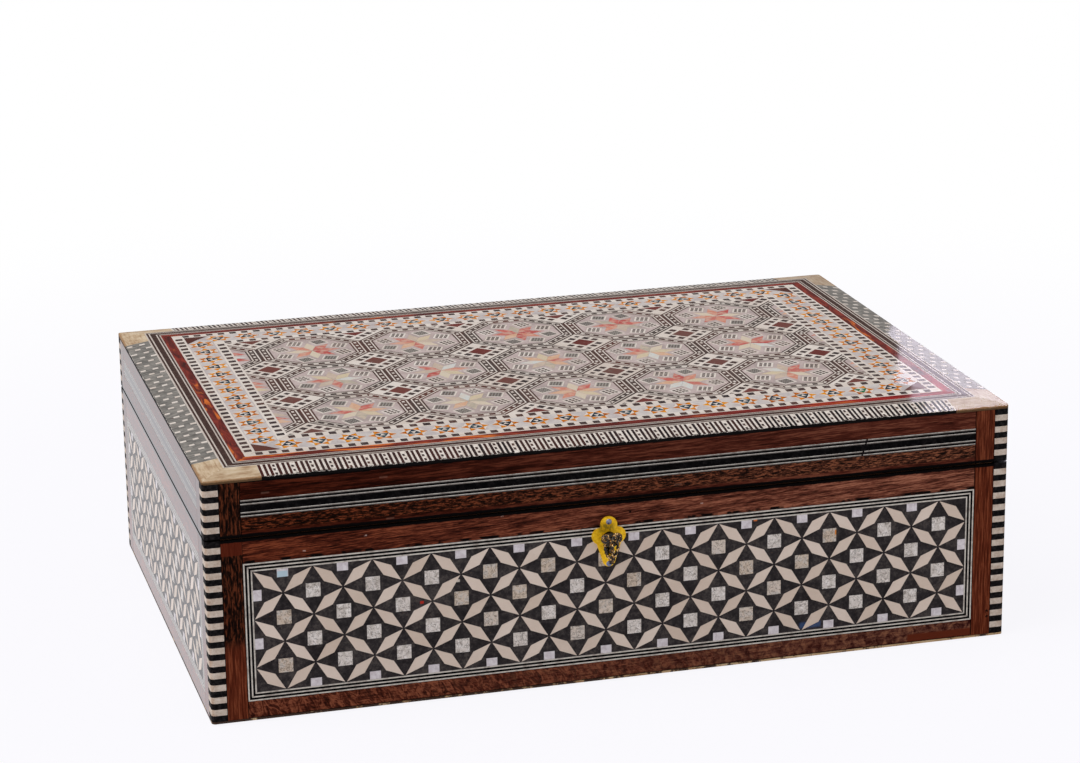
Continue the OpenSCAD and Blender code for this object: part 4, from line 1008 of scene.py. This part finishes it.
def strand(made, path, radius, bead=0.0, beads=1.0, sides=12):
    """Adds a cast strand along points (x, out, z) from the drop's middle, swelling into beads."""
    points = [Vector((HANG_X + x, HANG_Y - out, KEY_Z + z)) for x, out, z in path]
    rings = []
    for k, here in enumerate(points):
        ahead = points[min(k + 1, len(points) - 1)] - points[max(k - 1, 0)]
        turn = ahead.to_track_quat("Z", "X")
        t = k / (len(points) - 1)
        r = radius * (0.35 if k in (0, len(points) - 1) else 1) + bead * sin(pi * beads * t) ** 2
        rings.append([made.verts.new((here + turn @ Vector((r * cos(2 * pi * m / sides),
                                                            r * sin(2 * pi * m / sides), 0))) * MM)
                      for m in range(sides)])
    made.faces.new(rings[0][::-1])
    made.faces.new(rings[-1])
    for a, b in zip(rings, rings[1:]):
        for m in range(sides):
            made.faces.new((a[m - 1], a[m], b[m], b[m - 1]))


def cast_key():
    """Piped key whose cast bow hangs as a drop: two scrolls above, twisted strands, a tip below."""
    made = bmesh.new()
    lathe(made, [(0, -101), (1.1, -101), (1.1, KEY_INNER_Y), (1.9, KEY_INNER_Y), (1.9, -103),
                 (2.6, -103.6), (2.8, -104.4), (2.5, -105.2), (1.5, -105.8), (1.3, -107.4), (0, -108)])
    for corner in bmesh.ops.create_cube(made, size=1)["verts"]:
        x, y, z = corner.co
        corner.co = Vector((LOCK_X + x * BIT_T, KEY_INNER_Y - BIT_W / 2 + y * BIT_W,
                            KEY_Z - (BIT_REACH + SHANK_R) / 2 + z * (BIT_REACH - SHANK_R))) * MM
    way = [k / STEPS for k in range(STEPS + 1)]
    for side in (-1, 1):
        turns = [(2.6 * pi * t, 1.45 - 0.75 * t, 0.5 * t) for t in way]
        strand(made, [(side * (2.1 - r * cos(a)), out, 1.9 + r * sin(a)) for a, r, out in turns], 0.78)
        strand(made, [(side * (0.35 + 2.1 * sin(pi * (0.22 + 0.78 * t)) - 0.25 * t),
                       0.35 * sin(5 * pi * t), 1.4 - 8.0 * t) for t in way], 0.42, 0.3, 6)
        strand(made, [(side * 0.5 * cos(3.5 * pi * t), 0.3 + 0.45 * side * sin(3.5 * pi * t),
                       2.7 - 9.1 * t) for t in way], 0.48, 0.16, 4)
    strand(made, [(0.1, 0, -6.0), (0.05, 0, -6.4), (0, 0, -6.9), (0, 0, -7.4), (0, 0, -7.8)], 0.95)
    placed("cast_key", made, "antique_brass", "key", "key").shade_smooth()


# ---- Floor and backdrop ----

def seen_directly(paint):
    """1 for what the camera, gloss and glass see, 0 for light that falls on things."""
    seen, gloss, glass = (paint.node("LightPath", output=f"Is {way} Ray")
                          for way in ("Camera", "Glossy", "Transmission"))
    return seen.most(gloss).most(glass)


def floor():
    """Pale floor that keeps the box's shadow and fades to the white backdrop. Open under the felt."""
    look = bpy.data.materials.new("floor")
    paint = Paint(look)
    shade = paint.mix(paint.noise(300, 2) * 0.3, (250, 249, 252), (247, 246, 250))
    far = paint.node("VectorMath", {"operation": "LENGTH"}, {0: paint.at}, "Value").step(*FLOOR_FADE)
    glow = paint.mix(far, (252, 251, 255), (1, 1, 1, 1))
    share = seen_directly(paint) * (FLOOR_GLOW + (1 - FLOOR_GLOW) * far)
    paint.node("OutputMaterial", None, {"Surface": paint.node("MixShader", None, {
        0: share, 1: paint.node("BsdfDiffuse", None, {"Color": shade}),
        2: paint.node("Emission", None, {"Color": glow})})})
    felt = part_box("foot_felt")[1]
    corners = [(x * half_x, y * half_y, FLOOR_Z * MM)
               for half_x, half_y in ((FLOOR_REACH, FLOOR_REACH), felt[:2]) for x, y in CORNERS]
    mesh = bpy.data.meshes.new("floor")
    mesh.from_pydata(corners, [], [(k, (k + 1) % 4, (k + 1) % 4 + 4, k + 4) for k in range(4)])
    mesh.materials.append(look)
    linked("floor", mesh)


def world():
    studio = bpy.data.worlds.new("studio")
    bpy.context.scene.world = studio
    paint = Paint(studio)
    colour = paint.mix(seen_directly(paint), (AMBIENT, AMBIENT, AMBIENT * 1.02, 1), (1, 1, 1, 1))
    paint.node("OutputWorld", None, {"Surface": paint.node("Background", None, {"Color": colour})})


camera()
finish_all()
for make in (edge_bars, side_threads, border_dashes, star_details, octagon_rings, chequered_squares,
             rosettes, diamonds, cast_key, floor, world, soft_sun):
    make()
for card in (("low_card", 0.706, 0.22, 0.385, 15), ("card", 0.656, 0.4, 0.68, 17),
             ("high_card", 0.743, 0.92, 1.12, 28)):
    light_card(*card)
bpy.context.scene.view_settings.view_transform = "Standard"
